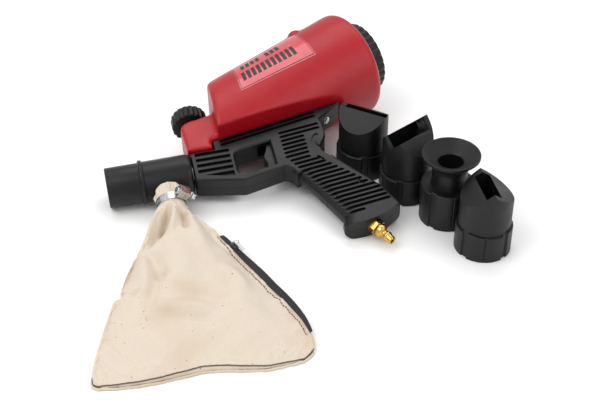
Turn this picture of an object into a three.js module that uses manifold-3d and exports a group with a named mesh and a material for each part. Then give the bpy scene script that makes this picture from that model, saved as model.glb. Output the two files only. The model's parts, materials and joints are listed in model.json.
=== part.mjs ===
// Hand-held gravity-feed sandblaster kit: gun, hopper, recovery bag and four nozzle tips.
// Millimetres. The gun is modelled upright in its own frame: X runs rearwards from the
// barrel's mouth, Y is up the gun and Z is to its left. It is then laid on its right side.
import * as THREE from 'three';
import { mergeVertices } from 'three/addons/utils/BufferGeometryUtils.js';
import Module from 'manifold-3d';

const wasm = await Module();
wasm.setup();

// ---------------------------------------------------------------- driving dimensions
const FIT = 0.3;                 // gap between pieces that touch
const SMALLEST_DETAIL = 0.1;     // facets flatter than this are joined
const SEGMENTS = 24;             // facets round a small turned piece
const SEGMENTS_LARGE = 36;       // facets round the hopper, its cap and the barrel

const BODY_HALF = 12.5;          // half the width of the moulded body
const BODY_EDGE = 1.5;           // rounding of the body's edges
const SLOT_DEPTH = 3;            // depth of the lightening slots
const BLOCK_FRONT = 88;          // front of the block behind the barrel
const BLOCK_TOP = 17.5;
const RAIL_FRONT = new THREE.Vector2(113.6, 29.5);
const RAIL_TIP = new THREE.Vector2(256, 57.5);
const FOOT_FRONT = new THREE.Vector2(219, -111);
const FOOT_REAR = new THREE.Vector2(281, -94.5);
const GRIP_AXIS = new THREE.Vector3(0.427, -0.904, 0).normalize();
const PLUG_SEAT = new THREE.Vector3(250.5, -109, 0);

const BARREL_R = 21;
const BARREL_WALL = 3;
const BARREL_LENGTH = 87;
const SPIGOT_LENGTH = 34;        // front part that the tips push on to
const SPIGOT_R = 20.6;
const COLLAR_R = 22.8;
const COLLAR_WIDTH = 4;
const PORT_X = 60;               // bag port, under the barrel
const PORT_R = 13.4;
const PORT_END = -45;
const PORT_WALL = 2.2;

const CHAMBER_R = 8;
const CHAMBER_BORE = 4.5;
const CHAMBER_FRONT = 72;
const CHAMBER_REAR = 114;
const OUTLET_X = 103.5;          // where the abrasive drops into the mixing chamber
const OUTLET_R = 4;
const OUTLET_BOSS_R = 6.8;
const NOZZLE_R = 5.5;
const NOZZLE_BORE = 3;
const NOZZLE_FRONT = 48;

const VALVE_Y = -5;
const VALVE_R = 7;
const VALVE_FRONT = 186;
const VALVE_REAR = 212;
const STEM_R = 2;
const STEM_TIP = 176.2;
const STEM_TRAVEL = 3.6;
const PIPE_R = 3;
const INLET_R = 4.5;
const TRIGGER_PIN = new THREE.Vector3(173, 21, 0);
const TRIGGER_PIN_R = 2;
const TRIGGER_HALF = 7;
const TRIGGER_FOOT = -16.5;

const HOPPER_START = new THREE.Vector3(140, 66.4, 0);
const HOPPER_SLOPE = THREE.MathUtils.degToRad(22.6);
const HOPPER_HALF_HEIGHT = 52.4; // at HOPPER_START
const HOPPER_HEIGHT_TAPER = 0.035;
const HOPPER_HALF_WIDTH = 40.3;  // narrower than high at the front, round at the cap
const HOPPER_WIDTH_TAPER = 0.116;
const HOPPER_LENGTH = 161;       // from HOPPER_START to the wide end
const HOPPER_WALL = 2.4;
const HOPPER_RIM = 8;            // rounding of the wide end
const HOPPER_FRONT = 121;        // front wall
const SUMP_FRONT = 84;
const SUMP_REAR = RAIL_FRONT.x - 0.4;
const SUMP_BOTTOM = BLOCK_TOP + FIT;
const SUMP_TOP_FRONT = 60;
const SUMP_TOP_REAR = 66;
const SUMP_HALF = 17;
const NECK_R = 34;
const NECK_LENGTH = 11;
const CAP_R = 39;
const CAP_HEIGHT = 16;
const CAP_FLUTES = 26;

const KNOB_X = 96.5;
const KNOB_BOTTOM = 67;
const KNOB_HEIGHT = 15.5;
const KNOB_R = 19;
const KNOB_FLUTES = 18;
const KNOB_STEM_R = 3.5;
const SHUTTER_R = 11.2;
const SHUTTER_HALF_ANGLE = THREE.MathUtils.degToRad(36);

const BAND_R = 14.5;             // inside of the hose clamp's band
const BAND_THICKNESS = 0.8;
const BAND_TOP = -33;
const BAND_WIDTH = 9;

const SCREW_R = 1.6;
const SCREW_HEAD_R = 3.1;
const SCREW_HEAD_HEIGHT = 2.4;

const TIP_BASE_R = 27.7;
const TIP_GROOVE = 1.6;
const TIP_BASE_HEIGHT = 30;
const TIP_BODY_R = 25.6;
const TIP_SOCKET_DEPTH = 34;
const DISC_R = 29;
const DISC_HEIGHT = 76;
const DISC_BASE_HEIGHT = 42;     // the disc tip has a longer sleeve than the wedges

const GUN_YAW = THREE.MathUtils.degToRad(12.52);

// ---------------------------------------------------------------- materials
const plastic = { color: 0x1d1d20, roughness: 0.55, metalness: 0 };
const rubber = { color: 0x202124, roughness: 0.75, metalness: 0 };
const red = { color: 0xa81322, roughness: 0.35, metalness: 0 };
const brass = { color: 0xc8a050, roughness: 0.25, metalness: 1 };
const steel = { color: 0xb8bcc0, roughness: 0.3, metalness: 1 };
const ceramic = { color: 0xe8e4da, roughness: 0.4, metalness: 0 };
const canvas = { color: 0xe4d6c4, roughness: 0.95, metalness: 0 };
const tape = { color: 0x17171a, roughness: 0.85, metalness: 0 };
const clear = { color: 0xc9444f, roughness: 0.15, metalness: 0 };

// ---------------------------------------------------------------- helpers
const Z = new THREE.Vector3(0, 0, 1);
const v3 = (x, y, z = 0) => new THREE.Vector3(x, y, z);

function solid(geometry) {
  const bare = geometry.clone();
  bare.deleteAttribute('normal');
  bare.deleteAttribute('uv');
  const merged = mergeVertices(bare, 1e-4);
  const vertProperties = new Float32Array(merged.attributes.position.array);
  const triVerts = new Uint32Array(merged.index.array);
  return new wasm.Manifold(new wasm.Mesh({ numProp: 3, vertProperties, triVerts }));
}

function geometryOf(body) {
  const mesh = body.asOriginal().simplify(SMALLEST_DETAIL).getMesh();
  const geometry = new THREE.BufferGeometry();
  geometry.setAttribute('position', new THREE.BufferAttribute(new Float32Array(mesh.vertProperties), 3));
  geometry.setIndex(new THREE.BufferAttribute(new Uint32Array(mesh.triVerts), 1));
  geometry.computeVertexNormals();
  return geometry;
}

// The frame of a turned piece: its Z axis runs along dir from the point at.
function along(at, dir) {
  const turn = new THREE.Quaternion().setFromUnitVectors(Z, dir.clone().normalize());
  return new THREE.Matrix4().compose(at, turn, new THREE.Vector3(1, 1, 1));
}

// A body of revolution about Z from a profile of [radius, height] pairs.
function turned(profile, segments = SEGMENTS) {
  const points = profile.map(([r, h]) => new THREE.Vector2(r, h));
  return new THREE.LatheGeometry(points, segments).rotateX(Math.PI / 2);
}

const rod = (radius, from, to, segments) => turned([[0, from], [radius, from], [radius, to], [0, to]], segments);

function ring(outer, inner, from, to, segments) {
  return turned([[inner, from], [outer, from], [outer, to], [inner, to], [inner, from]], segments);
}

const rodAt = (radius, at, dir, from, to, segments) => rod(radius, from, to, segments).applyMatrix4(along(at, dir));

function outline(points) {
  return new THREE.Shape(points.map(([x, y]) => new THREE.Vector2(x, y)));
}

function prism(shape, from, to, curveSegments = 6) {
  return new THREE.ExtrudeGeometry(shape, { depth: to - from, bevelEnabled: false, curveSegments })
    .translate(0, 0, from);
}

// A closed solid through rings of equal length, with flat ends.
function loft(rings) {
  const count = rings[0].length;
  const positions = rings.flat().flatMap((p) => [p.x, p.y, p.z]);
  const index = [];
  for (let i = 0; i < rings.length - 1; i += 1) {
    for (let j = 0; j < count; j += 1) {
      const a = i * count + j;
      const b = i * count + ((j + 1) % count);
      index.push(a, b, a + count, b, b + count, a + count);
    }
  }
  const last = (rings.length - 1) * count;
  for (let j = 1; j < count - 1; j += 1) {
    index.push(0, j + 1, j);
    index.push(last, last + j, last + j + 1);
  }
  const geometry = new THREE.BufferGeometry();
  geometry.setAttribute('position', new THREE.Float32BufferAttribute(positions, 3));
  geometry.setIndex(index);
  return geometry;
}

function fluted(radius, depth, count, perFlute = 3) {
  const points = [];
  const total = count * perFlute;
  for (let i = 0; i < total; i += 1) {
    const angle = (i / total) * Math.PI * 2;
    const wave = 0.5 - 0.5 * Math.cos(angle * count);
    const r = radius - depth * wave * wave;
    points.push([r * Math.cos(angle), r * Math.sin(angle)]);
  }
  return outline(points);
}

function hexagon(acrossFlats) {
  const r = acrossFlats / Math.sqrt(3);
  return outline([0, 1, 2, 3, 4, 5].map((i) => [r * Math.cos((i * Math.PI) / 3), r * Math.sin((i * Math.PI) / 3)]));
}

// A slot with round ends between two points.
function stadium(from, to, width) {
  const angle = Math.atan2(to.y - from.y, to.x - from.x);
  const shape = new THREE.Shape();
  shape.absarc(to.x, to.y, width / 2, angle - Math.PI / 2, angle + Math.PI / 2, false);
  shape.absarc(from.x, from.y, width / 2, angle + Math.PI / 2, angle + 1.5 * Math.PI, false);
  return shape;
}

function tube(points, radius, steps, sides = 8) {
  const path = new THREE.CatmullRomCurve3(points, false, 'centripetal');
  const section = new THREE.Shape().absarc(0, 0, radius, 0, Math.PI * 2, false);
  return new THREE.ExtrudeGeometry(section, { steps, extrudePath: path, curveSegments: sides / 2, bevelEnabled: false });
}

const gun = new THREE.Group();
const kit = new THREE.Group();
kit.add(gun);

function add(name, geometry, look, parent = gun) {
  const mesh = new THREE.Mesh(geometry, new THREE.MeshStandardMaterial(look));
  mesh.name = name;
  parent.add(mesh);
  return mesh;
}

// A piece modelled about its own axis and placed on it.
function addTurned(name, geometry, look, at, dir) {
  const mesh = add(name, geometry, look);
  mesh.position.copy(at);
  mesh.quaternion.setFromUnitVectors(Z, dir.clone().normalize());
  return mesh;
}

const AHEAD = v3(-1, 0, 0);
const BACK = v3(1, 0, 0);
const UP = v3(0, 1, 0);
const DOWN = v3(0, -1, 0);

// ---------------------------------------------------------------- hopper geometry shared by its neighbours
const hopperAxis = v3(Math.cos(HOPPER_SLOPE), Math.sin(HOPPER_SLOPE));
const hopperAcross = v3(-Math.sin(HOPPER_SLOPE), Math.cos(HOPPER_SLOPE));
const halfHeight = (s) => HOPPER_HALF_HEIGHT + HOPPER_HEIGHT_TAPER * s;
const halfWidth = (s) => HOPPER_HALF_WIDTH + HOPPER_WIDTH_TAPER * s;
const railSlope = (RAIL_TIP.y - RAIL_FRONT.y) / (RAIL_TIP.x - RAIL_FRONT.x);
const railTop = (x) => RAIL_FRONT.y + (x - RAIL_FRONT.x) * railSlope;

function hopperPoint(s, angle, lift) {
  return HOPPER_START.clone().addScaledVector(hopperAxis, s)
    .addScaledVector(hopperAcross, (halfHeight(s) + lift) * Math.cos(angle))
    .addScaledVector(Z, (halfWidth(s) + lift) * Math.sin(angle));
}

// ---------------------------------------------------------------- body shells
function bodySide() {
  const shape = new THREE.Shape();
  shape.moveTo(BLOCK_FRONT, BLOCK_TOP - 4);
  shape.quadraticCurveTo(BLOCK_FRONT, BLOCK_TOP, BLOCK_FRONT + 4, BLOCK_TOP);
  shape.lineTo(RAIL_FRONT.x, BLOCK_TOP);
  shape.lineTo(RAIL_FRONT.x, RAIL_FRONT.y);
  shape.lineTo(RAIL_TIP.x, RAIL_TIP.y);
  shape.lineTo(RAIL_TIP.x - 1.5, RAIL_TIP.y - 3);
  shape.lineTo(229.5, 36.5);
  shape.quadraticCurveTo(231.5, 28, 230.5, 18);
  shape.quadraticCurveTo(230, 8, 224, 2);
  shape.quadraticCurveTo(219, -5, 224, -12.5);
  shape.lineTo(233, -22);
  shape.lineTo(190, -34);
  shape.quadraticCurveTo(187, -24, 180, -22);
  shape.lineTo(140, -31);
  shape.quadraticCurveTo(136, -32, 132, -30.5);
  shape.lineTo(92, -22);
  shape.quadraticCurveTo(BLOCK_FRONT, -21, BLOCK_FRONT, -17);
  const opening = new THREE.Path();
  opening.moveTo(132.5, -17);
  opening.quadraticCurveTo(132.5, -22, 138, -22.5);
  opening.quadraticCurveTo(142, -23, 146, -22);
  opening.lineTo(172, -16.5);
  opening.lineTo(172, 17.5);
  opening.lineTo(140, 11.5);
  opening.quadraticCurveTo(133, 10, 132.5, 4);
  shape.holes.push(opening);
  return shape;
}

function gripSolid() {
  // Half-round at the front and a softer round at the back, in level slices.
  const rings = [];
  const slices = [[-18, 186, 232], [-34, 191.3, 243], [-54, 202, 258], [-72, 210.4, 271.5],
    [-90, 218.8, 279], [-98, 222, 281.5], [-106, 219.5, 283], [-122, 219, 284]];
  for (const [y, front, back] of slices) {
    const points = [];
    const depth = 13;
    const soft = 5;
    for (let i = 0; i <= 10; i += 1) {
      const a = Math.PI / 2 + (i / 10) * Math.PI;
      points.push(v3(front + depth + depth * Math.cos(a), y, BODY_HALF * Math.sin(a)));
    }
    for (let i = 0; i <= 4; i += 1) {
      const a = -Math.PI / 2 + (i / 4) * (Math.PI / 2);
      points.push(v3(back - soft + soft * Math.cos(a), y, -BODY_HALF + soft + soft * Math.sin(a)));
    }
    for (let i = 0; i <= 4; i += 1) {
      const a = (i / 4) * (Math.PI / 2);
      points.push(v3(back - soft + soft * Math.cos(a), y, BODY_HALF - soft + soft * Math.sin(a)));
    }
    rings.push(points);
  }
  const foot = new THREE.Shape();
  foot.moveTo(150, -10);
  foot.lineTo(150, FOOT_FRONT.y);
  foot.lineTo(FOOT_FRONT.x, FOOT_FRONT.y);
  foot.quadraticCurveTo(252, -117, FOOT_REAR.x, FOOT_REAR.y);
  foot.lineTo(330, FOOT_REAR.y);
  foot.lineTo(330, -10);
  return solid(loft(rings)).intersect(solid(prism(foot, -20, 20)));
}

function slotShapes() {
  const shapes = [];
  const blockSlots = 4;
  for (let i = 0; i < blockSlots; i += 1) {
    const y = 13 - i * 7.8;
    shapes.push(outline([[92.8, y - 2.3], [128.5, y - 2.3], [128.5, y + 2.3], [92.8, y + 2.3]]));
  }
  shapes.push(outline([[98, -16], [128.5, -24.2], [128.5, -16]]));
  const railSlots = [4.2, 9.7];
  for (const drop of railSlots) {
    const start = RAIL_FRONT.x + 9;
    shapes.push(stadium(v3(start, railTop(start) - drop), v3(224.5, railTop(224.5) - drop), 3.6));
  }
  const gripSlots = 23;
  const pitch = 5.45;
  for (let i = 0; i < gripSlots; i += 1) {
    const y = 24.5 - i * pitch - (i < 7 ? i * 0.45 : 3.15);
    const front = y > -14 ? 184 : 186.5 + (-14 - y) * 0.495;
    let back = 225;
    if (i > 1) back = 207;
    if (y < -18) back = 212 + (-18 - y) * 0.9;
    if (y < -68) back = 262 + (-68 - y) * 0.36;
    if (i === 22) back = 243;
    const rise = (back - front) * 0.13;
    shapes.push(stadium(v3(front, y), v3(back, y + rise), 3.7));
  }
  shapes.push(stadium(v3(215.5, -16), v3(220, -21.5), 2.4));
  shapes.push(stadium(v3(247, -57.5), v3(251.5, -63), 2.4));
  return shapes;
}

const airRoute = [v3(CHAMBER_REAR + 0.6, 0), v3(119, 0), v3(123.8, 4), v3(124.2, 13), v3(130, 20), v3(150, 25.8),
  v3(175, 31), v3(188, 31), v3(194.5, 25), v3(196, 14), v3(196, VALVE_Y + VALVE_R + FIT)];

const diagonal = v3(RAIL_TIP.x - 1.5 - 229.5, RAIL_TIP.y - 3 - 36.5).normalize();
const hopperScrewUp = v3(-diagonal.y, diagonal.x);
const hopperScrewSeat = v3(229.5, 36.5).addScaledVector(diagonal, 12);
const inletTop = (PLUG_SEAT.y * -1 + VALVE_Y - VALVE_R) / -GRIP_AXIS.y;

// Screws enter from the right and hold the two shells together.
const screwPlaces = [[123, -20.5], [118.3, 25.2], [218, 38.5], [185, -17.5], [211, -55], [262, -89]];
const SCREW_SEAT = -BODY_HALF + SCREW_HEAD_HEIGHT + 0.6;

function bodyCavities() {
  const parts = [
    rodAt(CHAMBER_R + FIT, v3(BLOCK_FRONT - 5, 0), BACK, 0, CHAMBER_REAR - BLOCK_FRONT + 5 + FIT, 16),
    rodAt(OUTLET_BOSS_R + FIT, v3(OUTLET_X, 0), UP, 0, BLOCK_TOP + 5, 16),
    rodAt(VALVE_R + FIT, v3(VALVE_FRONT - FIT, VALVE_Y), BACK, 0, VALVE_REAR - VALVE_FRONT + 4 + 2 * FIT, 16),
    rodAt(STEM_R + 0.5, v3(STEM_TIP - 6, VALVE_Y), BACK, 0, VALVE_FRONT - STEM_TIP + 8, 12),
    rodAt(INLET_R + FIT, PLUG_SEAT, GRIP_AXIS, -inletTop - 3, 10, 16),
    rodAt(8 + FIT, PLUG_SEAT, GRIP_AXIS, -16 - FIT, 10, 16),
    rodAt(TRIGGER_PIN_R + 0.2, TRIGGER_PIN, Z, -10.3, 10.3, 12),
    tube([v3(CHAMBER_REAR - 2, 0), ...airRoute.slice(1, -1), v3(196, VALVE_Y + VALVE_R - 3)], PIPE_R + 1, 22, 6),
    rodAt(5.4, hopperScrewSeat, hopperScrewUp, -8, 2.2, 16),
    rodAt(SCREW_R + 0.4, hopperScrewSeat, hopperScrewUp, -8, 20, 12),
  ];
  const pocket = outline([[158, -19.5], [184, -19.5], [184, -1], [181.5, 25.4], [166, 25.4], [158, 14.6]]);
  let cavity = parts.map(solid).reduce((a, b) => a.add(b));
  cavity = cavity.add(solid(prism(pocket, -TRIGGER_HALF - 0.4, TRIGGER_HALF + 0.4)));
  for (const [x, y] of screwPlaces) {
    cavity = cavity.add(solid(rodAt(SCREW_R + 0.15, v3(x, y), Z, -BODY_HALF - 2, 8.2, 10)));
    cavity = cavity.add(solid(rodAt(SCREW_HEAD_R + 0.4, v3(x, y), Z, -BODY_HALF - 2, SCREW_SEAT, 14)));
  }
  return cavity;
}

function bodyShells() {
  const block = new THREE.ExtrudeGeometry(bodySide(), {
    depth: 2 * (BODY_HALF - BODY_EDGE), bevelEnabled: true, bevelThickness: BODY_EDGE,
    bevelSize: BODY_EDGE, bevelOffset: -BODY_EDGE, bevelSegments: 1, curveSegments: 4,
  }).translate(0, 0, -BODY_HALF + BODY_EDGE);
  const whole = solid(block).add(gripSolid()).subtract(bodyCavities());
  const slots = slotShapes().map((shape) => solid(prism(shape, BODY_HALF - SLOT_DEPTH, BODY_HALF + 3, 1)))
    .reduce((a, b) => a.add(b));
  const crescent = new THREE.Shape();
  crescent.absarc(227, 5, 13.2, THREE.MathUtils.degToRad(118), THREE.MathUtils.degToRad(228), false);
  crescent.absarc(228.5, 5, 10.4, THREE.MathUtils.degToRad(228), THREE.MathUtils.degToRad(118), true);
  const recess = solid(prism(crescent, BODY_HALF - 1.4, BODY_HALF + 3));
  const leftCut = slots.add(recess);
  let bosses = null;
  for (const [x, y] of screwPlaces) {
    const boss = solid(rodAt(SCREW_HEAD_R + 1.8, v3(x, y), Z, -BODY_HALF - 4, 0, 12));
    bosses = bosses ? bosses.add(boss) : boss;
  }
  const rightCut = leftCut.mirror([0, 0, 1]).subtract(bosses);
  const half = new THREE.BoxGeometry(400, 400, 40);
  const leftHalf = solid(half.clone().translate(180, 0, 20 + FIT / 2));
  const rightHalf = solid(half.clone().translate(180, 0, -20 - FIT / 2));
  add('body_left', geometryOf(whole.subtract(leftCut).intersect(leftHalf)), plastic);
  add('body_right', geometryOf(whole.subtract(rightCut).intersect(rightHalf)), plastic);
  screwPlaces.forEach(([x, y], i) => {
    const profile = [[0, -SCREW_HEAD_HEIGHT], [SCREW_HEAD_R - 0.8, -SCREW_HEAD_HEIGHT],
      [SCREW_HEAD_R, -SCREW_HEAD_HEIGHT + 1], [SCREW_HEAD_R, -FIT], [SCREW_R - 0.1, -FIT],
      [SCREW_R - 0.1, 14], [0, 15.5]];
    addTurned(`body_screw_${i + 1}`, turned(profile, 12), steel, v3(x, y, SCREW_SEAT), Z);
  });
}

// ---------------------------------------------------------------- barrel and blasting parts
function barrel() {
  const inner = BARREL_R - BARREL_WALL;
  const profile = [[SPIGOT_R - 2.6, 0], [SPIGOT_R - 0.6, 0], [SPIGOT_R, 0.8], [SPIGOT_R, SPIGOT_LENGTH],
    [COLLAR_R, SPIGOT_LENGTH + 0.6], [COLLAR_R, SPIGOT_LENGTH + COLLAR_WIDTH - 0.6],
    [BARREL_R, SPIGOT_LENGTH + COLLAR_WIDTH], [BARREL_R, BARREL_LENGTH - 3], [BARREL_R - 0.9, BARREL_LENGTH - 0.9],
    [BARREL_R - 3, BARREL_LENGTH], [CHAMBER_R + FIT, BARREL_LENGTH], [CHAMBER_R + FIT, BARREL_LENGTH - 3],
    [inner, BARREL_LENGTH - 3], [inner, 2], [SPIGOT_R - 2.6, 0]];
  const shell = solid(turned(profile, SEGMENTS_LARGE).applyMatrix4(along(v3(0, 0), BACK)));
  const port = solid(rodAt(PORT_R, v3(PORT_X, 0), DOWN, inner - 6, -PORT_END));
  const bore = solid(rodAt(inner + 0.05, v3(0, 0), BACK, 2, BARREL_LENGTH - 3, SEGMENTS_LARGE));
  const hole = solid(rodAt(PORT_R - PORT_WALL, v3(PORT_X, 0), DOWN, 0, -PORT_END + 5));
  const whole = shell.add(port.subtract(bore)).subtract(hole);
  add('barrel', geometryOf(whole), plastic);
}

function mouthRing() {
  // A ring with saw-tooth ribs inside that steadies the blast tube in the barrel's mouth.
  const outer = BARREL_R - BARREL_WALL - FIT;
  const teeth = 20;
  const shape = new THREE.Shape().absarc(0, 0, outer, 0, Math.PI * 2, false);
  const inside = new THREE.Path();
  for (let i = 0; i < teeth * 2; i += 1) {
    const r = i % 2 ? 13.6 : 15.6;
    const a = (-i / (teeth * 2)) * Math.PI * 2;
    if (i === 0) inside.moveTo(r * Math.cos(a), r * Math.sin(a));
    else inside.lineTo(r * Math.cos(a), r * Math.sin(a));
  }
  inside.closePath();
  shape.holes.push(inside);
  const geometry = new THREE.ExtrudeGeometry(shape, { depth: 16, bevelEnabled: false, curveSegments: 14 });
  addTurned('mouth_ring', geometry, rubber, v3(4, 0), BACK);
}

function blastingParts() {
  const chamber = solid(ring(CHAMBER_R, CHAMBER_BORE, CHAMBER_FRONT, CHAMBER_REAR).applyMatrix4(along(v3(0, 0), BACK)));
  const bossTop = BLOCK_TOP - 3;
  const boss = solid(rodAt(OUTLET_BOSS_R, v3(OUTLET_X, 0), UP, CHAMBER_BORE + 1, bossTop));
  const drop = solid(rodAt(OUTLET_R, v3(OUTLET_X, 0), UP, 0, bossTop + 4));
  add('mixing_chamber', geometryOf(chamber.add(boss).subtract(drop)), steel);
  addTurned('outlet_gasket', ring(OUTLET_BOSS_R, OUTLET_R + 0.3, FIT, SUMP_BOTTOM - bossTop - FIT, 20), rubber,
    v3(OUTLET_X, bossTop), UP);
  addTurned('blast_nozzle', ring(NOZZLE_R, NOZZLE_BORE, NOZZLE_FRONT, CHAMBER_FRONT - FIT, 20), ceramic, v3(0, 0), BACK);
  const nut = turned([[NOZZLE_R + FIT, 62], [9, 62], [10.5, 64], [10.5, 82], [CHAMBER_R + FIT, 82],
    [CHAMBER_R + FIT, CHAMBER_FRONT - 1], [NOZZLE_R + FIT, CHAMBER_FRONT - 1], [NOZZLE_R + FIT, 62]], 24);
  addTurned('nozzle_nut', nut, steel, v3(0, 0), BACK);
  const jetR = CHAMBER_BORE - FIT;
  const jetTip = OUTLET_X + OUTLET_R + 0.8;
  const jet = turned([[1, jetTip], [2, jetTip], [jetR, jetTip + 2.4], [jetR, CHAMBER_REAR], [1, CHAMBER_REAR], [1, jetTip]], 20);
  addTurned('air_jet', jet, brass, v3(0, 0), BACK);
}

// ---------------------------------------------------------------- air valve, pipes and trigger
function airParts() {
  const pipe = solid(tube(airRoute, PIPE_R, 26));
  const bore = solid(tube([v3(CHAMBER_REAR - 4, 0), ...airRoute.slice(1, -1), v3(196, -2)], PIPE_R - 1, 26, 6));
  add('air_pipe', geometryOf(pipe.subtract(bore)), brass);

  const wall = 2;
  const length = VALVE_REAR - VALVE_FRONT;
  const valveAt = v3(VALVE_FRONT, VALVE_Y);
  const bodyProfile = [[STEM_R + 0.3, 0], [VALVE_R, 0], [VALVE_R, length], [VALVE_R - wall, length],
    [VALVE_R - wall, wall], [STEM_R + 0.3, wall], [STEM_R + 0.3, 0]];
  const valve = solid(turned(bodyProfile, 24).applyMatrix4(along(valveAt, BACK)));
  const outlet = solid(rodAt(PIPE_R - 1, v3(196, VALVE_Y), UP, 0, 12, 20));
  const inletPoint = PLUG_SEAT.clone().addScaledVector(GRIP_AXIS, -inletTop);
  const inlet = solid(rodAt(INLET_R - 1.5, inletPoint, GRIP_AXIS, -5.4, 6, 20));
  add('valve_body', geometryOf(valve.subtract(outlet).subtract(inlet)), brass);
  addTurned('valve_cap', rod(VALVE_R, FIT, 4, 24), brass, v3(VALVE_REAR, VALVE_Y), BACK);
  addTurned('stem_seal', ring(VALVE_R - wall - FIT, STEM_R + 0.25, 0, 1.4, 28), rubber,
    v3(VALVE_FRONT + wall + FIT, VALVE_Y), BACK);
  const stem = turned([[0, 0], [STEM_R - 0.5, 0], [STEM_R, 0.6], [STEM_R, 14], [VALVE_R - wall - 0.4, 14],
    [VALVE_R - wall - 0.4, 17], [STEM_R - 0.4, 17], [STEM_R - 0.4, 25], [0, 25]], 20);
  addTurned('valve_stem', stem, steel, v3(STEM_TIP, VALVE_Y), BACK);
  const springStart = STEM_TIP + 17 + STEM_TRAVEL + 0.9;
  const springEnd = VALVE_REAR - 0.4;
  const turns = 5;
  const coil = [];
  const perTurn = 8;
  for (let i = 0; i <= turns * perTurn; i += 1) {
    const a = (i / perTurn) * Math.PI * 2;
    const x = springStart + (springEnd - springStart) * (i / (turns * perTurn));
    coil.push(v3(x, VALVE_Y + 3.1 * Math.cos(a), 3.1 * Math.sin(a)));
  }
  add('valve_spring', tube(coil, 0.45, turns * perTurn, 4), steel);

  addTurned('inlet_pipe', ring(INLET_R, INLET_R - 1.5, -inletTop + 2.4, -16.6, 24), brass, PLUG_SEAT, GRIP_AXIS);
  addTurned('inlet_bush', ring(8, 5.2, -16, 0, 32), brass, PLUG_SEAT, GRIP_AXIS);
  const hexPart = solid(prism(hexagon(14), 0.6, 6.6));
  const plugProfile = [[0, -11], [4.4, -11], [4.9, -10], [4.9, 0.6], [6, 0.6], [6, 6.6], [6, 13], [5.4, 14.2],
    [3.9, 14.8], [3.9, 17.6], [5.3, 18.6], [5.3, 20.4], [4.5, 21], [4.1, 26.4], [3.5, 27.2], [0, 27.2]];
  const plugBore = solid(rod(2.3, -14, 30, 24));
  const plug = solid(turned(plugProfile, 24)).add(hexPart).subtract(plugBore);
  addTurned('air_plug', geometryOf(plug), brass, PLUG_SEAT, GRIP_AXIS);
}

function triggerParts() {
  const shape = new THREE.Shape();
  shape.moveTo(TRIGGER_PIN.x + 4, TRIGGER_PIN.y);
  shape.absarc(TRIGGER_PIN.x, TRIGGER_PIN.y, 4, 0, Math.PI * 0.95, false);
  shape.quadraticCurveTo(167.2, 9, 163.5, 3);
  shape.quadraticCurveTo(161.5, -1, 164.5, -7);
  shape.quadraticCurveTo(165.5, -12, 163, TRIGGER_FOOT);
  shape.lineTo(170.5, TRIGGER_FOOT);
  shape.quadraticCurveTo(175, -13, STEM_TIP - 0.4, -8);
  shape.lineTo(STEM_TIP - 0.4, 4);
  const blade = solid(prism(shape, -TRIGGER_HALF, TRIGGER_HALF));
  const hole = solid(rodAt(TRIGGER_PIN_R + 0.2, TRIGGER_PIN, Z, -20, 20, 24));
  add('trigger', geometryOf(blade.subtract(hole)), plastic);
  addTurned('trigger_pin', rod(TRIGGER_PIN_R, -10, 10, 24), steel, TRIGGER_PIN, Z);
}

// ---------------------------------------------------------------- hopper
function hopperRing(s, lift) {
  const points = [];
  for (let i = 0; i < SEGMENTS_LARGE; i += 1) {
    points.push(hopperPoint(s, (i / SEGMENTS_LARGE) * Math.PI * 2, lift));
  }
  return points;
}

function hopperForm(inset) {
  const back = HOPPER_LENGTH - inset;
  const rim = Math.max(HOPPER_RIM - inset, 1);
  const rings = [hopperRing(-50, -inset)];
  const steps = inset > 0 ? 2 : 4;
  for (let i = 0; i <= steps; i += 1) {
    const a = (i / steps) * (Math.PI / 2);
    rings.push(hopperRing(back - rim + rim * Math.sin(a), -inset - rim + rim * Math.cos(a)));
  }
  const cone = solid(loft(rings));
  const front = HOPPER_FRONT + inset;
  const floor = (x) => railTop(x) + FIT + inset;
  const side = new THREE.Shape();
  side.moveTo(front, floor(front) + 3);
  side.quadraticCurveTo(front, floor(front), front + 3, floor(front + 3));
  side.lineTo(RAIL_TIP.x, floor(RAIL_TIP.x));
  side.lineTo(RAIL_TIP.x + 40, floor(RAIL_TIP.x) - 10);
  side.lineTo(500, 40);
  side.lineTo(500, 300);
  side.lineTo(front + 45, 300);
  side.lineTo(front + 16, 118 - inset);
  side.quadraticCurveTo(front, 111 - inset, front, 94);
  const body = cone.intersect(solid(prism(side, -90, 90)));

  const sump = new THREE.Shape();
  const left = SUMP_FRONT + inset;
  const right = SUMP_REAR - inset;
  const bottom = SUMP_BOTTOM + inset;
  sump.moveTo(left + 4, bottom);
  sump.lineTo(right, bottom);
  sump.lineTo(right, floor(right));
  sump.lineTo(HOPPER_FRONT + 8, floor(HOPPER_FRONT + 8));
  sump.lineTo(HOPPER_FRONT + 8, SUMP_TOP_REAR - inset + 1.6);
  sump.lineTo(SUMP_REAR, SUMP_TOP_REAR - inset);
  sump.lineTo(left + 9, SUMP_TOP_FRONT - inset + 0.5);
  sump.quadraticCurveTo(left, SUMP_TOP_FRONT - inset - 1, left, SUMP_TOP_FRONT - inset - 11);
  sump.lineTo(left, bottom + 4);
  sump.quadraticCurveTo(left, bottom, left + 4, bottom);
  const edge = 4;
  const box = new THREE.ExtrudeGeometry(sump, {
    depth: 2 * (SUMP_HALF - inset - edge), bevelEnabled: true, bevelThickness: edge, bevelSize: 3,
    bevelOffset: -3, bevelSegments: 3, curveSegments: 4,
  }).translate(0, 0, -SUMP_HALF + inset + edge);
  const clearance = rodAt(BARREL_R + FIT + inset, v3(0, 0), BACK, 60, BARREL_LENGTH + FIT + inset);
  return body.add(solid(box)).subtract(solid(clearance));
}

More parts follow.
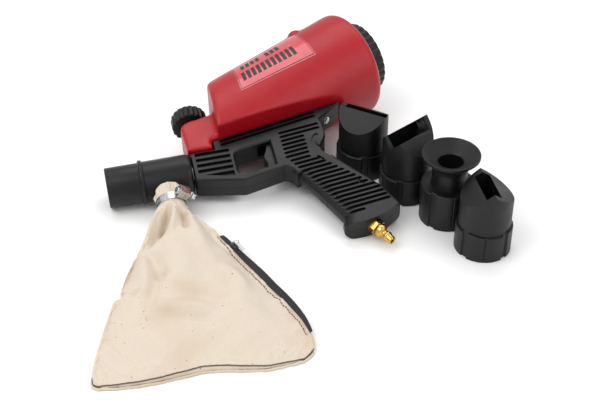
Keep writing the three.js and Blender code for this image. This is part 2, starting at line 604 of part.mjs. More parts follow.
function hopperParts() {
  const mouthAt = HOPPER_START.clone().addScaledVector(hopperAxis, HOPPER_LENGTH);
  const neck = solid(rodAt(NECK_R, mouthAt, hopperAxis, -4, NECK_LENGTH, SEGMENTS_LARGE));
  const mouth = solid(rodAt(NECK_R - HOPPER_WALL, mouthAt, hopperAxis, -HOPPER_WALL - 3, NECK_LENGTH + 5, SEGMENTS_LARGE));
  const outlet = solid(rodAt(OUTLET_R, v3(OUTLET_X, SUMP_BOTTOM), UP, -5, 6, 28));
  const stemHole = solid(rodAt(KNOB_STEM_R + 0.5, v3(KNOB_X, SUMP_TOP_FRONT), UP, -12, 20, 28));
  const lugAngle = THREE.MathUtils.degToRad(41);
  const lug = new THREE.SphereGeometry(1, 16, 10).scale(8, 6, 9);
  lug.applyMatrix4(along(hopperPoint(112, lugAngle, -2.8), hopperAxis));
  const boss = solid(rodAt(5, hopperScrewSeat, hopperScrewUp, 8, 21, 24));
  const pilot = solid(rodAt(SCREW_R + 0.15, hopperScrewSeat, hopperScrewUp, 0, 20, 16));
  const outer = hopperForm(0);
  const shell = outer.add(neck).add(solid(lug)).subtract(hopperForm(HOPPER_WALL));
  const whole = shell.add(boss.intersect(outer)).subtract(mouth).subtract(outlet).subtract(stemHole).subtract(pilot);
  add('hopper', geometryOf(whole), red);

  const capAt = mouthAt.clone().addScaledVector(hopperAxis, 2);
  const cap = solid(new THREE.ExtrudeGeometry(fluted(CAP_R, 1.6, CAP_FLUTES), {
    depth: CAP_HEIGHT - 2, bevelEnabled: true, bevelThickness: 1, bevelSize: 1.2, bevelOffset: -1.2, bevelSegments: 1,
  }).translate(0, 0, 1));
  const capBore = solid(rod(NECK_R + 0.5, -3, CAP_HEIGHT - 3, SEGMENTS_LARGE));
  addTurned('hopper_cap', geometryOf(cap.subtract(capBore)), plastic, capAt, hopperAxis);
  const gasketFrom = NECK_LENGTH - 2 + FIT;
  addTurned('cap_gasket', ring(NECK_R, NECK_R - HOPPER_WALL - 1, gasketFrom, CAP_HEIGHT - 3 - FIT, SEGMENTS), rubber,
    capAt, hopperAxis);
  const screw = turned([[0, -3], [3.4, -3], [4.8, -1.8], [4.8, -FIT], [SCREW_R, -FIT], [SCREW_R, 15], [0, 16.5]], 16);
  addTurned('hopper_screw', screw, steel, hopperScrewSeat.clone().addScaledVector(hopperScrewUp, 2.2), hopperScrewUp);

  const knobAt = v3(KNOB_X, KNOB_BOTTOM);
  const knob = solid(new THREE.ExtrudeGeometry(fluted(KNOB_R, 1.3, KNOB_FLUTES), {
    depth: KNOB_HEIGHT - 3, bevelEnabled: true, bevelThickness: 1.5, bevelSize: 1.8, bevelOffset: -1.8, bevelSegments: 1,
  }).translate(0, 0, 1.5));
  const hollow = solid(ring(KNOB_R - 4, 6.5, -3, KNOB_HEIGHT - 5, 36));
  const stemBore = solid(rod(KNOB_STEM_R + 0.2, -3, KNOB_HEIGHT - 4, 24));
  addTurned('flow_knob', geometryOf(knob.subtract(hollow).subtract(stemBore)), plastic, knobAt, UP);
  const shutterTop = SUMP_BOTTOM + HOPPER_WALL + 2.6;
  const stem = solid(rod(KNOB_STEM_R, shutterTop - KNOB_BOTTOM - 1, KNOB_HEIGHT - 4.3, 24));
  const sector = new THREE.Shape();
  sector.absarc(0, 0, SHUTTER_R, -SHUTTER_HALF_ANGLE, SHUTTER_HALF_ANGLE, false);
  sector.lineTo(0, 0);
  const shutter = solid(prism(sector, shutterTop - KNOB_BOTTOM - 2, shutterTop - KNOB_BOTTOM));
  const collar = solid(rod(KNOB_STEM_R + 1.6, shutterTop - KNOB_BOTTOM - 2, shutterTop - KNOB_BOTTOM + 3, 24));
  addTurned('flow_stem', geometryOf(stem.add(shutter).add(collar)), steel, knobAt, UP);
}

function labelPlate() {
  // A clear label on the left of the hopper, bent to its surface. Corners are [distance, angle].
  const lowFront = [14, 91];
  const highFront = [28, 42];
  const highRear = [110, 50];
  const lowRear = [109, 98];
  const across = 8;
  const steps = 4;
  const rings = [];
  for (let i = 0; i <= across; i += 1) {
    const front = mixed(lowFront, highFront, i / across);
    const rear = mixed(lowRear, highRear, i / across);
    const edge = [];
    for (let j = 0; j <= steps; j += 1) edge.push(labelPoint(front, rear, j / steps, 1.3));
    for (let j = steps; j >= 0; j -= 1) edge.push(labelPoint(front, rear, j / steps, 0.8));
    rings.push(edge);
  }
  add('label', loft(rings), clear);
}

function mixed(from, to, t) {
  return [from[0] + (to[0] - from[0]) * t, from[1] + (to[1] - from[1]) * t];
}

function labelPoint(front, rear, t, lift) {
  const [s, angle] = mixed(front, rear, t);
  return hopperPoint(s, THREE.MathUtils.degToRad(angle), lift);
}

// ---------------------------------------------------------------- hose clamp on the bag port
function clampParts() {
  const at = v3(PORT_X, BAND_TOP);
  const outerR = BAND_R + BAND_THICKNESS;
  addTurned('clamp_band', ring(outerR, BAND_R, 0, BAND_WIDTH, SEGMENTS_LARGE), steel, at, DOWN);
  const angle = THREE.MathUtils.degToRad(50);
  const radial = v3(Math.cos(angle), 0, Math.sin(angle));
  const tangent = v3(-Math.sin(angle), 0, Math.cos(angle));
  const middle = v3(PORT_X, BAND_TOP - BAND_WIDTH / 2).addScaledVector(radial, outerR + 5.2);
  const housing = solid(new THREE.BoxGeometry(9, 9.6, 12)).subtract(solid(rod(3.5, -20, 20, 28)));
  const frame = new THREE.Matrix4().makeBasis(radial, UP, radial.clone().cross(UP)).setPosition(middle);
  const box = add('clamp_housing', geometryOf(housing), steel);
  box.applyMatrix4(frame);
  const head = solid(prism(hexagon(7), 9.5, 13.5));
  const worm = solid(rod(3.2, -9, 9.5, 28));
  addTurned('clamp_screw', geometryOf(head.add(worm)), steel, middle, tangent.negate());
}

// ---------------------------------------------------------------- the gun lies on its right side
function lowest(mesh) {
  mesh.updateWorldMatrix(true, false);
  const position = mesh.geometry.attributes.position;
  const point = new THREE.Vector3();
  let best = null;
  for (let i = 0; i < position.count; i += 1) {
    point.fromBufferAttribute(position, i).applyMatrix4(mesh.matrixWorld);
    if (!best || point.z < best.z) best = point.clone();
  }
  return best;
}

function layDown(names) {
  const pieces = names.map((name) => gun.getObjectByName(name));
  gun.quaternion.setFromAxisAngle(v3(0, 1, 0), 0);
  for (let pass = 0; pass < 12; pass += 1) {
    const [a, b, c] = pieces.map(lowest);
    const normal = b.clone().sub(a).cross(c.clone().sub(a)).normalize();
    if (normal.z < 0) normal.negate();
    gun.quaternion.premultiply(new THREE.Quaternion().setFromUnitVectors(normal, Z));
  }
  const nose = v3(1, 0, 0).applyQuaternion(gun.quaternion);
  const yaw = GUN_YAW - Math.atan2(nose.y, nose.x);
  gun.quaternion.premultiply(new THREE.Quaternion().setFromAxisAngle(Z, yaw));
  gun.position.z = -Math.min(...pieces.map((piece) => lowest(piece).z));
}

// ---------------------------------------------------------------- recovery bag on the floor
const BAG_LEFT = [[-14, -8], [-22, -28], [-31, -73], [-40, -125], [-49, -175], [-53, -212], [-47, -229]];
const BAG_RIGHT = [[16, -8], [42, -29], [67, -64], [98, -107], [130, -152], [140, -187], [131, -196]];
const BAG_HEIGHT = [27, 27, 26, 24, 22, 16, 8];

function bagParts() {
  const port = v3(PORT_X, PORT_END - FIT + 0.1).applyMatrix4(gun.matrixWorld);
  const outward = DOWN.clone().transformDirection(gun.matrixWorld);
  const sideways = BACK.clone().transformDirection(gun.matrixWorld);
  const upward = sideways.clone().cross(outward).negate();
  if (upward.z < 0) upward.negate();
  const count = 18;
  const rings = [];
  const mouth = [];
  const mouthR = BAND_R - FIT;
  for (let j = 0; j < count; j += 1) {
    const a = (j / count) * Math.PI * 2;
    mouth.push(port.clone().addScaledVector(sideways, mouthR * Math.cos(a)).addScaledVector(upward, mouthR * Math.sin(a)));
  }
  rings.push(mouth);
  for (let i = 0; i < BAG_LEFT.length; i += 1) {
    const left = v3(port.x + BAG_LEFT[i][0], port.y + BAG_LEFT[i][1]);
    const right = v3(port.x + BAG_RIGHT[i][0], port.y + BAG_RIGHT[i][1]);
    const centre = left.clone().add(right).multiplyScalar(0.5);
    const reach = right.clone().sub(left).multiplyScalar(0.5);
    const half = BAG_HEIGHT[i] / 2;
    const points = [];
    for (let j = 0; j < count; j += 1) {
      const a = (j / count) * Math.PI * 2;
      const lift = half + half * Math.sin(a);
      points.push(centre.clone().addScaledVector(reach, Math.cos(a)).setZ(lift));
    }
    rings.push(points);
  }
  const neck = ring((BAND_R - FIT), PORT_R + FIT, 22, -PORT_END + FIT).applyMatrix4(along(v3(PORT_X, 0), DOWN));
  const body = solid(loft(rings)).add(solid(neck.applyMatrix4(gun.matrixWorld)));
  add('recovery_bag', geometryOf(body), canvas, kit);
}

const ZIP_START = [46.6, -33];    // from the port's end
const ZIP_END = [136.7, -159];
const ZIP_SLIDER = 26;           // along the zip from its start
const ZIP_HEIGHT = 12;
const PULLER_HEIGHT = 5.4;        // of the puller's bar, over the tape

function zipParts() {
  const port = v3(PORT_X, PORT_END).applyMatrix4(gun.matrixWorld);
  const start = v3(port.x + ZIP_START[0], port.y + ZIP_START[1], ZIP_HEIGHT);
  const end = v3(port.x + ZIP_END[0], port.y + ZIP_END[1], ZIP_HEIGHT);
  const run = end.clone().sub(start);
  const length = run.length();
  const angle = Math.atan2(run.y, run.x);
  const zip = new THREE.Group();
  zip.position.copy(start);
  zip.rotation.z = angle;
  kit.add(zip);
  const band = add('zip_tape', new THREE.BoxGeometry(length, 6, 1.4), tape, zip);
  band.position.set(length / 2, 4, 0);
  const across = v3(0, 1, 0);
  const plate = solid(new THREE.BoxGeometry(9, 6.4, 2.4));
  const bar = solid(rodAt(0.6, v3(0, 0, PULLER_HEIGHT - 2.4), across, -3, 3, 12));
  let bridge = plate.add(bar);
  for (const side of [-1, 1]) {
    bridge = bridge.add(solid(new THREE.BoxGeometry(2, 0.8, 4).translate(0, side * 2.6, PULLER_HEIGHT - 3.6)));
  }
  const slider = add('zip_slider', geometryOf(bridge), steel, zip);
  slider.position.set(ZIP_SLIDER, 4.2, 2.4);
  const eye = solid(rodAt(1.5, v3(0, 0, 0), across, -1.8, 1.8, 12));
  const hole = solid(rodAt(0.9, v3(0, 0, 0), across, -5, 5, 12));
  const tab = solid(new THREE.BoxGeometry(13, 3.6, 1).translate(7.5, 0, 0));
  const puller = add('zip_puller', geometryOf(eye.add(tab).subtract(hole)), steel, zip);
  puller.position.set(ZIP_SLIDER, 4.2, PULLER_HEIGHT);
}

// ---------------------------------------------------------------- nozzle tips
const socketR = SPIGOT_R + 0.6;

function tipSleeve(height) {
  const pads = 4;
  const shape = new THREE.Shape();
  const gap = THREE.MathUtils.degToRad(15);
  for (let i = 0; i < pads; i += 1) {
    const from = (i / pads) * Math.PI * 2;
    const to = ((i + 1) / pads) * Math.PI * 2 - gap;
    shape.absarc(0, 0, TIP_BASE_R, from, to, false);
    shape.absarc(0, 0, TIP_BASE_R - TIP_GROOVE, to, to + gap, false);
  }
  shape.closePath();
  return solid(new THREE.ExtrudeGeometry(shape, { depth: height, bevelEnabled: false, curveSegments: 4 }));
}

function addTip(name, whole, place, turn) {
  const mesh = add(name, geometryOf(whole), rubber, kit);
  mesh.position.set(place[0], place[1], 0);
  mesh.rotation.z = turn;
}

// The ridge is cut by the slot, and valley is how far the end walls dip between its edges.
function wedgeTip(ridge, slope, slotWidth, slotLength, valley) {
  const fall = Math.tan(THREE.MathUtils.degToRad(slope));
  const drop = fall * 40;
  const roof = outline([[-40, 0], [40, 0], [40, ridge - drop], [0, ridge], [-40, ridge - drop]]);
  const roofSolid = solid(prism(roof, -40, 40).rotateX(Math.PI / 2).rotateZ(Math.PI / 2));
  const column = solid(rod(TIP_BODY_R, TIP_BASE_HEIGHT - 2, 90, SEGMENTS)).intersect(roofSolid);
  const slot = solid(new THREE.BoxGeometry(slotLength, slotWidth, 60).translate(0, 0, TIP_SOCKET_DEPTH + 38));
  const whole = tipSleeve(TIP_BASE_HEIGHT).add(column).subtract(tipBore()).subtract(slot);
  if (!valley) return whole;
  const half = slotWidth / 2;
  const edge = ridge - fall * half;
  const cut = outline([[0, edge - valley], [half, edge - 0.2], [half, 120], [-half, 120], [-half, edge - 0.2]]);
  return whole.subtract(solid(prism(cut, -40, 40).rotateX(Math.PI / 2).rotateZ(Math.PI / 2)));
}

function tipBore() {
  return solid(turned([[0, -5], [socketR, -5], [socketR, TIP_SOCKET_DEPTH], [17, TIP_SOCKET_DEPTH + 3],
    [17, TIP_SOCKET_DEPTH + 12], [0, TIP_SOCKET_DEPTH + 16]], SEGMENTS));
}

function discTip() {
  const profile = [[0, DISC_BASE_HEIGHT - 2], [18.5, DISC_BASE_HEIGHT - 2], [17.5, DISC_BASE_HEIGHT + 4],
    [17.5, DISC_HEIGHT - 14], [DISC_R, DISC_HEIGHT - 3], [DISC_R, DISC_HEIGHT], [DISC_R - 1.5, DISC_HEIGHT],
    [13, DISC_HEIGHT - 8], [12.5, DISC_HEIGHT - 9], [0, DISC_HEIGHT - 9]];
  const through = solid(rod(12.5, -5, DISC_HEIGHT + 5, SEGMENTS));
  const bore = solid(turned([[0, -5], [socketR, -5], [socketR, TIP_SOCKET_DEPTH], [12, TIP_SOCKET_DEPTH + 4],
    [0, TIP_SOCKET_DEPTH + 4]], SEGMENTS));
  return tipSleeve(DISC_BASE_HEIGHT).add(solid(turned(profile, SEGMENTS))).subtract(through).subtract(bore);
}

const degrees = THREE.MathUtils.degToRad;

function tips() {
  addTip('tip_narrow_wedge', wedgeTip(73.5, 33, 6.4, 40, 0.8), [261.2, 68], degrees(-28));
  addTip('tip_open_wedge', wedgeTip(83, 45, 20, 40, 10), [304.0, 24.8], degrees(42));
  addTip('tip_disc', discTip(), [342.7, -17], degrees(20));
  addTip('tip_wide_wedge', wedgeTip(75, 33, 15, 38, 0), [373.2, -65], degrees(-79));
}

bodyShells();
barrel();
mouthRing();
blastingParts();
airParts();
triggerParts();
hopperParts();
labelPlate();
clampParts();
layDown(['body_right', 'hopper', 'barrel']);
gun.updateWorldMatrix(true, true);
bagParts();
zipParts();
tips();

// The origin is on the floor, under the middle of the kit.
const box = new THREE.Box3().setFromObject(kit, true);
const centre = box.getCenter(new THREE.Vector3());
kit.position.set(-centre.x, -centre.y, -box.min.z);

export default kit;
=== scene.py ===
"""Visual model of a gravity-feed sandblaster gun, its recovery bag and its nozzle tips."""
import json
import math

import bmesh
import bpy
from mathutils import Matrix, Vector, noise


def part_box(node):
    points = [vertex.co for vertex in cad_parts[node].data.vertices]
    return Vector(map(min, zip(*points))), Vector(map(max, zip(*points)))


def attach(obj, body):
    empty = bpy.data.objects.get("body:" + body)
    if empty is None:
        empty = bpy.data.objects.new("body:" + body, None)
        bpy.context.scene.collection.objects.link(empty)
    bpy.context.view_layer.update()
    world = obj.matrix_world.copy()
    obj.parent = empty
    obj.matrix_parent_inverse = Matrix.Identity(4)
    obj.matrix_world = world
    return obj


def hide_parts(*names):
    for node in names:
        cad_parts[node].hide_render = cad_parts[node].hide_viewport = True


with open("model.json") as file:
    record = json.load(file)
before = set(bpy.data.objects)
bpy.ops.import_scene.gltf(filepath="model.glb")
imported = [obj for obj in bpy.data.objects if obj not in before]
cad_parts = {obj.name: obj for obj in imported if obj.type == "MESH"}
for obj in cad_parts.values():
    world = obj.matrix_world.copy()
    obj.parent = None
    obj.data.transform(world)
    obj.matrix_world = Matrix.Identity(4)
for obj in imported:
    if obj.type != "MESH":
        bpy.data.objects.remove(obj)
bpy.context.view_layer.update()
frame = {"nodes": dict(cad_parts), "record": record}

MM = 0.001
nodes = frame["nodes"]
joints = {joint["name"]: joint for joint in frame["record"]["behaviour"]["joints"]}

# ------------------------------------------------------------------ the gun's own frame
U = Vector(joints["valve_open"]["axis"])      # rearwards along the barrel
V = Vector(joints["flow_turn"]["axis"])       # up the gun
W = Vector(joints["trigger_pull"]["axis"])    # to its left, which faces up
PIN = (173.0, 21.0)
ORIGIN = Vector(joints["trigger_pull"]["pos_m"]) - (U * PIN[0] + V * PIN[1]) * MM
GUN = Matrix.Translation(ORIGIN) @ Matrix((U, V, W)).transposed().to_4x4() @ Matrix.Scale(MM, 4)
FLOOR = Matrix.Scale(MM, 4)


def along(at, direction):
    """A frame in the gun whose Z axis runs along direction from the point at."""
    turn = Vector((0, 0, 1)).rotation_difference(Vector(direction)).to_matrix().to_4x4()
    return GUN @ Matrix.Translation(Vector(at)) @ turn


# ------------------------------------------------------------------ materials
def srgb(r, g, b):
    def one(c):
        c /= 255
        return c / 12.92 if c <= 0.04045 else ((c + 0.055) / 1.055) ** 2.4
    return (one(r), one(g), one(b), 1.0)


class Look:
    """A Principled material that is put together from short calls."""

    def __init__(self, name, color, rough, metallic=0.0, **sockets):
        self.mat = bpy.data.materials.new(name)
        self.mat.use_nodes = True
        self.tree = self.mat.node_tree
        self.shader = self.tree.nodes["Principled BSDF"]
        self.color = color
        self.shader.inputs["Base Color"].default_value = color
        self.shader.inputs["Roughness"].default_value = rough
        self.shader.inputs["Metallic"].default_value = metallic
        for key, value in sockets.items():
            self.shader.inputs[key.replace("_", " ")].default_value = value
        self.place = self.tree.nodes.new("ShaderNodeTexCoord")
        self.heights = []
        self.base = None
        self.color_link = None

    def link(self, a, b):
        self.tree.links.new(a, b)

    def noise(self, scale, detail=3.0, stretch=None, rough=0.5, distortion=0.0):
        node = self.tree.nodes.new("ShaderNodeTexNoise")
        node.inputs["Scale"].default_value = scale
        node.inputs["Detail"].default_value = detail
        node.inputs["Roughness"].default_value = rough
        node.inputs["Distortion"].default_value = distortion
        self.link(self.mapped(stretch), node.inputs["Vector"])
        return node.outputs["Fac"]

    def mapped(self, stretch=None, turn=(0, 0, 0)):
        if stretch is None and turn == (0, 0, 0):
            return self.place.outputs["Object"]
        mapping = self.tree.nodes.new("ShaderNodeMapping")
        mapping.inputs["Scale"].default_value = stretch or (1, 1, 1)
        mapping.inputs["Rotation"].default_value = turn
        self.link(self.place.outputs["Object"], mapping.inputs["Vector"])
        return mapping.outputs["Vector"]

    def wave(self, scale, axis, turn=(0, 0, 0), distortion=0.0):
        node = self.tree.nodes.new("ShaderNodeTexWave")
        node.bands_direction = axis
        node.inputs["Scale"].default_value = scale
        node.inputs["Distortion"].default_value = distortion
        node.inputs["Detail"].default_value = 2.0
        node.inputs["Detail Scale"].default_value = 0.6
        self.link(self.mapped(None, turn), node.inputs["Vector"])
        return node.outputs["Fac"]

    def ramp(self, fac, low, high, low_value=0.0, high_value=1.0):
        node = self.tree.nodes.new("ShaderNodeMapRange")
        node.inputs["From Min"].default_value = low
        node.inputs["From Max"].default_value = high
        node.inputs["To Min"].default_value = low_value
        node.inputs["To Max"].default_value = high_value
        self.link(fac, node.inputs["Value"])
        return node.outputs["Result"]

    def math(self, kind, a, b):
        node = self.tree.nodes.new("ShaderNodeMath")
        node.operation = kind
        for socket, value in zip(node.inputs, (a, b)):
            if isinstance(value, (int, float)):
                socket.default_value = value
            else:
                self.link(value, socket)
        return node.outputs["Value"]

    def tint(self, fac, color):
        """Mixes another colour in by fac."""
        node = self.tree.nodes.new("ShaderNodeMix")
        node.data_type = "RGBA"
        self.link(fac, node.inputs["Factor"])
        if self.color_link is None:
            node.inputs["A"].default_value = self.color
        else:
            self.link(self.color_link, node.inputs["A"])
        node.inputs["B"].default_value = color
        self.color_link = node.outputs["Result"]
        self.link(self.color_link, self.shader.inputs["Base Color"])
        return self

    def rough(self, fac, low, high):
        self.link(self.ramp(fac, 0.3, 0.7, low, high), self.shader.inputs["Roughness"])
        return self

    def bump(self, height, distance, strength=1.0):
        node = self.tree.nodes.new("ShaderNodeBump")
        node.inputs["Distance"].default_value = distance
        node.inputs["Strength"].default_value = strength
        self.link(height, node.inputs["Height"])
        if self.base is not None:
            self.link(self.base, node.inputs["Normal"])
        self.base = node.outputs["Normal"]
        self.link(self.base, self.shader.inputs["Normal"])
        return self


def moulded(name, color, rough, dust):
    look = Look(name, color, rough, Specular_IOR_Level=0.36)
    fine = look.noise(2600, 2.0)
    broad = look.noise(38, 4.0)
    look.tint(look.ramp(broad, 0.5, 0.85, 0.0, 0.5), dust)
    look.rough(broad, rough - 0.07, rough + 0.1)
    look.bump(fine, 0.00009, 0.35)
    look.bump(look.noise(420, 3.0), 0.00012, 0.25)
    return look.mat


BLACK = moulded("black_plastic", srgb(11, 11, 13), 0.36, srgb(20, 20, 22))
RUBBER = moulded("black_rubber", srgb(11, 11, 13), 0.44, srgb(24, 25, 28))


def red_plastic():
    look = Look("red_plastic", srgb(166, 8, 24), 0.4, Coat_Weight=0.06, Coat_Roughness=0.3,
                Specular_IOR_Level=0.4)
    broad = look.noise(16, 3.0)
    look.tint(look.ramp(broad, 0.35, 0.75, 0.0, 0.45), srgb(152, 7, 21))
    look.tint(look.ramp(look.noise(900, 2.0), 0.66, 0.8, 0.0, 0.5), srgb(184, 40, 50))
    look.rough(look.noise(60, 3.0), 0.32, 0.44)
    look.bump(look.noise(26, 2.0), 0.0012, 0.12)
    look.bump(look.noise(1100, 2.0), 0.00006, 0.3)
    return look.mat


def brass():
    look = Look("brass", srgb(212, 172, 96), 0.2, 1.0)
    look.tint(look.ramp(look.noise(150, 4.0), 0.45, 0.8, 0.0, 0.5), srgb(184, 138, 66))
    look.rough(look.noise(420, 2.0), 0.16, 0.3)
    look.bump(look.noise(2400, 2.0), 0.00003, 0.3)
    return look.mat


def zinc(name="zinc_steel", color=(0.66, 0.67, 0.69, 1), low=0.16, high=0.3):
    look = Look(name, color, low, 1.0)
    look.tint(look.ramp(look.noise(260, 4.0), 0.4, 0.75, 0.0, 0.5), (0.48, 0.49, 0.51, 1))
    look.rough(look.noise(300, 3.0), low, high)
    look.bump(look.noise(1800, 2.0, (1, 1, 6)), 0.00003, 0.3)
    return look.mat


def canvas():
    look = Look("canvas", srgb(220, 207, 190), 0.92, Sheen_Weight=0.12, Sheen_Roughness=0.5)
    look.tint(look.ramp(look.noise(11, 3.0), 0.45, 0.7, 0.0, 0.7), srgb(198, 170, 142))
    look.tint(look.ramp(look.noise(30, 4.0), 0.55, 0.85, 0.0, 0.4), srgb(224, 215, 200))
    across = look.wave(520, "X", (0, 0, 0.12), 0.6)
    down = look.wave(520, "Y", (0, 0, 0.12), 0.6)
    weave = look.math("MAXIMUM", across, down)
    look.tint(look.ramp(weave, 0.9, 0.35, 0.0, 0.3), srgb(186, 167, 141))
    look.tint(look.ramp(look.noise(900, 3.0, (1, 0.25, 1)), 0.55, 0.8, 0.0, 0.35), srgb(196, 178, 153))
    look.tint(look.ramp(look.noise(330, 1.0), 0.755, 0.79, 0.0, 0.8), srgb(104, 84, 62))
    look.bump(weave, 0.00022, 0.6)
    look.bump(look.noise(420, 4.0), 0.0003, 0.4)
    look.bump(look.noise(70, 4.0), 0.0012, 0.35)
    return look.mat


def cloth_tape(name, color):
    look = Look(name, color, 0.9, Sheen_Weight=0.15)
    ribs = look.wave(900, "X", (0, 0, 0.6), 0.2)
    look.tint(look.ramp(ribs, 0.2, 0.9, 0.0, 0.35), srgb(58, 58, 60))
    look.bump(ribs, 0.00015, 0.5)
    return look.mat


def thread():
    look = Look("seam_thread", srgb(72, 58, 46), 0.8)
    look.tint(look.ramp(look.noise(700, 2.0), 0.4, 0.6, 0.0, 0.7), srgb(38, 34, 32))
    look.bump(look.noise(1500, 2.0), 0.0001, 0.6)
    return look.mat


def fired():
    look = Look("ceramic", srgb(232, 228, 218), 0.45)
    look.tint(look.ramp(look.noise(120, 3.0), 0.4, 0.7, 0.0, 0.4), srgb(214, 206, 190))
    look.bump(look.noise(900, 2.0), 0.00005, 0.4)
    return look.mat


RED = red_plastic()
BRASS = brass()
ZINC = zinc()
CANVAS = canvas()
TAPE = cloth_tape("zip_tape_cloth", srgb(28, 28, 30))
THREAD = thread()
CERAMIC = fired()


# ------------------------------------------------------------------ mesh helpers
def mesh_object(name, verts, faces, matrix=None, material=None, sharp=35.0):
    mesh = bpy.data.meshes.new(name)
    mesh.from_pydata([tuple(v) for v in verts], [], faces)
    if matrix is not None:
        mesh.transform(matrix)
    work = bmesh.new()
    work.from_mesh(mesh)
    bmesh.ops.recalc_face_normals(work, faces=work.faces)
    work.to_mesh(mesh)
    work.free()
    obj = bpy.data.objects.new(name, mesh)
    bpy.context.scene.collection.objects.link(obj)
    if material is not None:
        mesh.materials.append(material)
    smooth(obj, sharp)
    return obj


def smooth(obj, sharp=35.0):
    obj.data.shade_smooth()
    if sharp is not None:
        obj.data.set_sharp_from_angle(angle=math.radians(sharp))


def modify(obj, kind, **settings):
    modifier = obj.modifiers.new(kind.lower(), kind)
    for key, value in settings.items():
        setattr(modifier, key, value)
    return modifier


def bake(obj):
    """Applies every modifier of obj."""
    graph = bpy.context.evaluated_depsgraph_get()
    mesh = bpy.data.meshes.new_from_object(obj.evaluated_get(graph), depsgraph=graph)
    obj.modifiers.clear()
    old = obj.data
    obj.data = mesh
    bpy.data.meshes.remove(old)
    return obj


def combine(obj, other, operation):
    modify(obj, "BOOLEAN", object=other, operation=operation, solver="EXACT")
    bake(obj)
    bpy.data.objects.remove(other)
    return obj


def edge_round(obj, width, segments=2, angle=30.0):
    modify(obj, "BEVEL", width=width * MM, segments=segments, limit_method="ANGLE",
           angle_limit=math.radians(angle), use_clamp_overlap=True, harden_normals=False)
    modify(obj, "WEIGHTED_NORMAL", keep_sharp=True)
    return obj


def lathe(profile, count=96):
    """Vertices and faces of a body turned about Z from (radius, height) pairs."""
    closed = profile[0] == profile[-1]
    points = profile[:-1] if closed else profile
    verts, rows = [], []
    for radius, height in points:
        if radius < 1e-6:
            rows.append([len(verts)] * count)
            verts.append((0, 0, height))
            continue
        rows.append(list(range(len(verts), len(verts) + count)))
        for i in range(count):
            a = 2 * math.pi * i / count
            verts.append((radius * math.cos(a), radius * math.sin(a), height))
    faces = []
    pairs = list(zip(rows, rows[1:] + ([rows[0]] if closed else [])))
    for low, high in pairs:
        for i in range(count):
            j = (i + 1) % count
            face = []
            for v in (low[i], low[j], high[j], high[i]):
                if v not in face:
                    face.append(v)
            if len(face) > 2:
                faces.append(face)
    return verts, faces


def tube_of(rings, cap=True, wrap=False):
    """Vertices and faces of a skin through equal rings."""
    count = len(rings[0])
    verts = [p for ring in rings for p in ring]
    faces = []
    last = len(rings) if wrap else len(rings) - 1
    for i in range(last):
        for j in range(count):
            a, b = i * count + j, i * count + (j + 1) % count
            c = ((i + 1) % len(rings)) * count
            faces.append((a, b, c + (j + 1) % count, c + j))
    if cap and not wrap:
        faces.append(tuple(range(count)))
        faces.append(tuple(range((len(rings) - 1) * count, len(rings) * count)))
    return verts, faces


def prism(points, low, high):
    return tube_of([[(x, y, low) for x, y in points], [(x, y, high) for x, y in points]])


def cuboid(lx, ly, lz, hx, hy, hz):
    return prism([(lx, ly), (hx, ly), (hx, hy), (lx, hy)], lz, hz)


def arc(cx, cy, radius, start, end, steps):
    out = []
    for i in range(steps + 1):
        a = math.radians(start + (end - start) * i / steps)
        out.append((cx + radius * math.cos(a), cy + radius * math.sin(a)))
    return out


def spline(points, t):
    """A smooth curve through points, t from 0 to 1."""
    count = len(points) - 1
    x = min(max(t, 0.0), 1.0) * count
    i = min(int(x), count - 1)
    f = x - i
    p = [points[max(i - 1, 0)], points[i], points[i + 1], points[min(i + 2, count)]]
    out = []
    for a, b, c, d in zip(*p):
        out.append(0.5 * (2 * b + (c - a) * f + (2 * a - 5 * b + 4 * c - d) * f * f
                          + (3 * b - a - 3 * c + d) * f ** 3))
    return out


def place(obj, body, slot, *replaced):
    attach(obj, body)
    if replaced:
        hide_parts(*replaced)
    return obj


def dress(material, *names):
    for name in names:
        obj = nodes[name]
        obj.data.materials.clear()
        obj.data.materials.append(material)
        for polygon in obj.data.polygons:
            polygon.material_index = 0


def copy_node(name, material, width=0.35, segments=2, flat=2.0):
    """A copy of a CAD node with its flat facets joined and its edges rounded."""
    mesh = nodes[name].data.copy()
    mesh.name = name + "_fine"
    mesh.transform(nodes[name].matrix_world)
    work = bmesh.new()
    work.from_mesh(mesh)
    bmesh.ops.remove_doubles(work, verts=work.verts, dist=2e-6)
    bmesh.ops.dissolve_limit(work, angle_limit=math.radians(flat), verts=work.verts, edges=work.edges)
    work.to_mesh(mesh)
    work.free()
    obj = bpy.data.objects.new(name + "_fine", mesh)
    bpy.context.scene.collection.objects.link(obj)
    mesh.materials.clear()
    mesh.materials.append(material)
    smooth(obj, 28)
    edge_round(obj, width, segments, 28.0)
    return obj


# ------------------------------------------------------------------ body shells
place(copy_node("body_left", BLACK, 0.7, 3), "gun", "black_plastic", "body_left")
place(copy_node("body_right", BLACK, 0.7, 3), "gun", "black_plastic", "body_right")

# ------------------------------------------------------------------ barrel
BARREL_R, SPIGOT_R, COLLAR_R, BORE_R = 21.0, 20.6, 22.8, 18.0
PORT_X, PORT_R = 60.0, 13.4


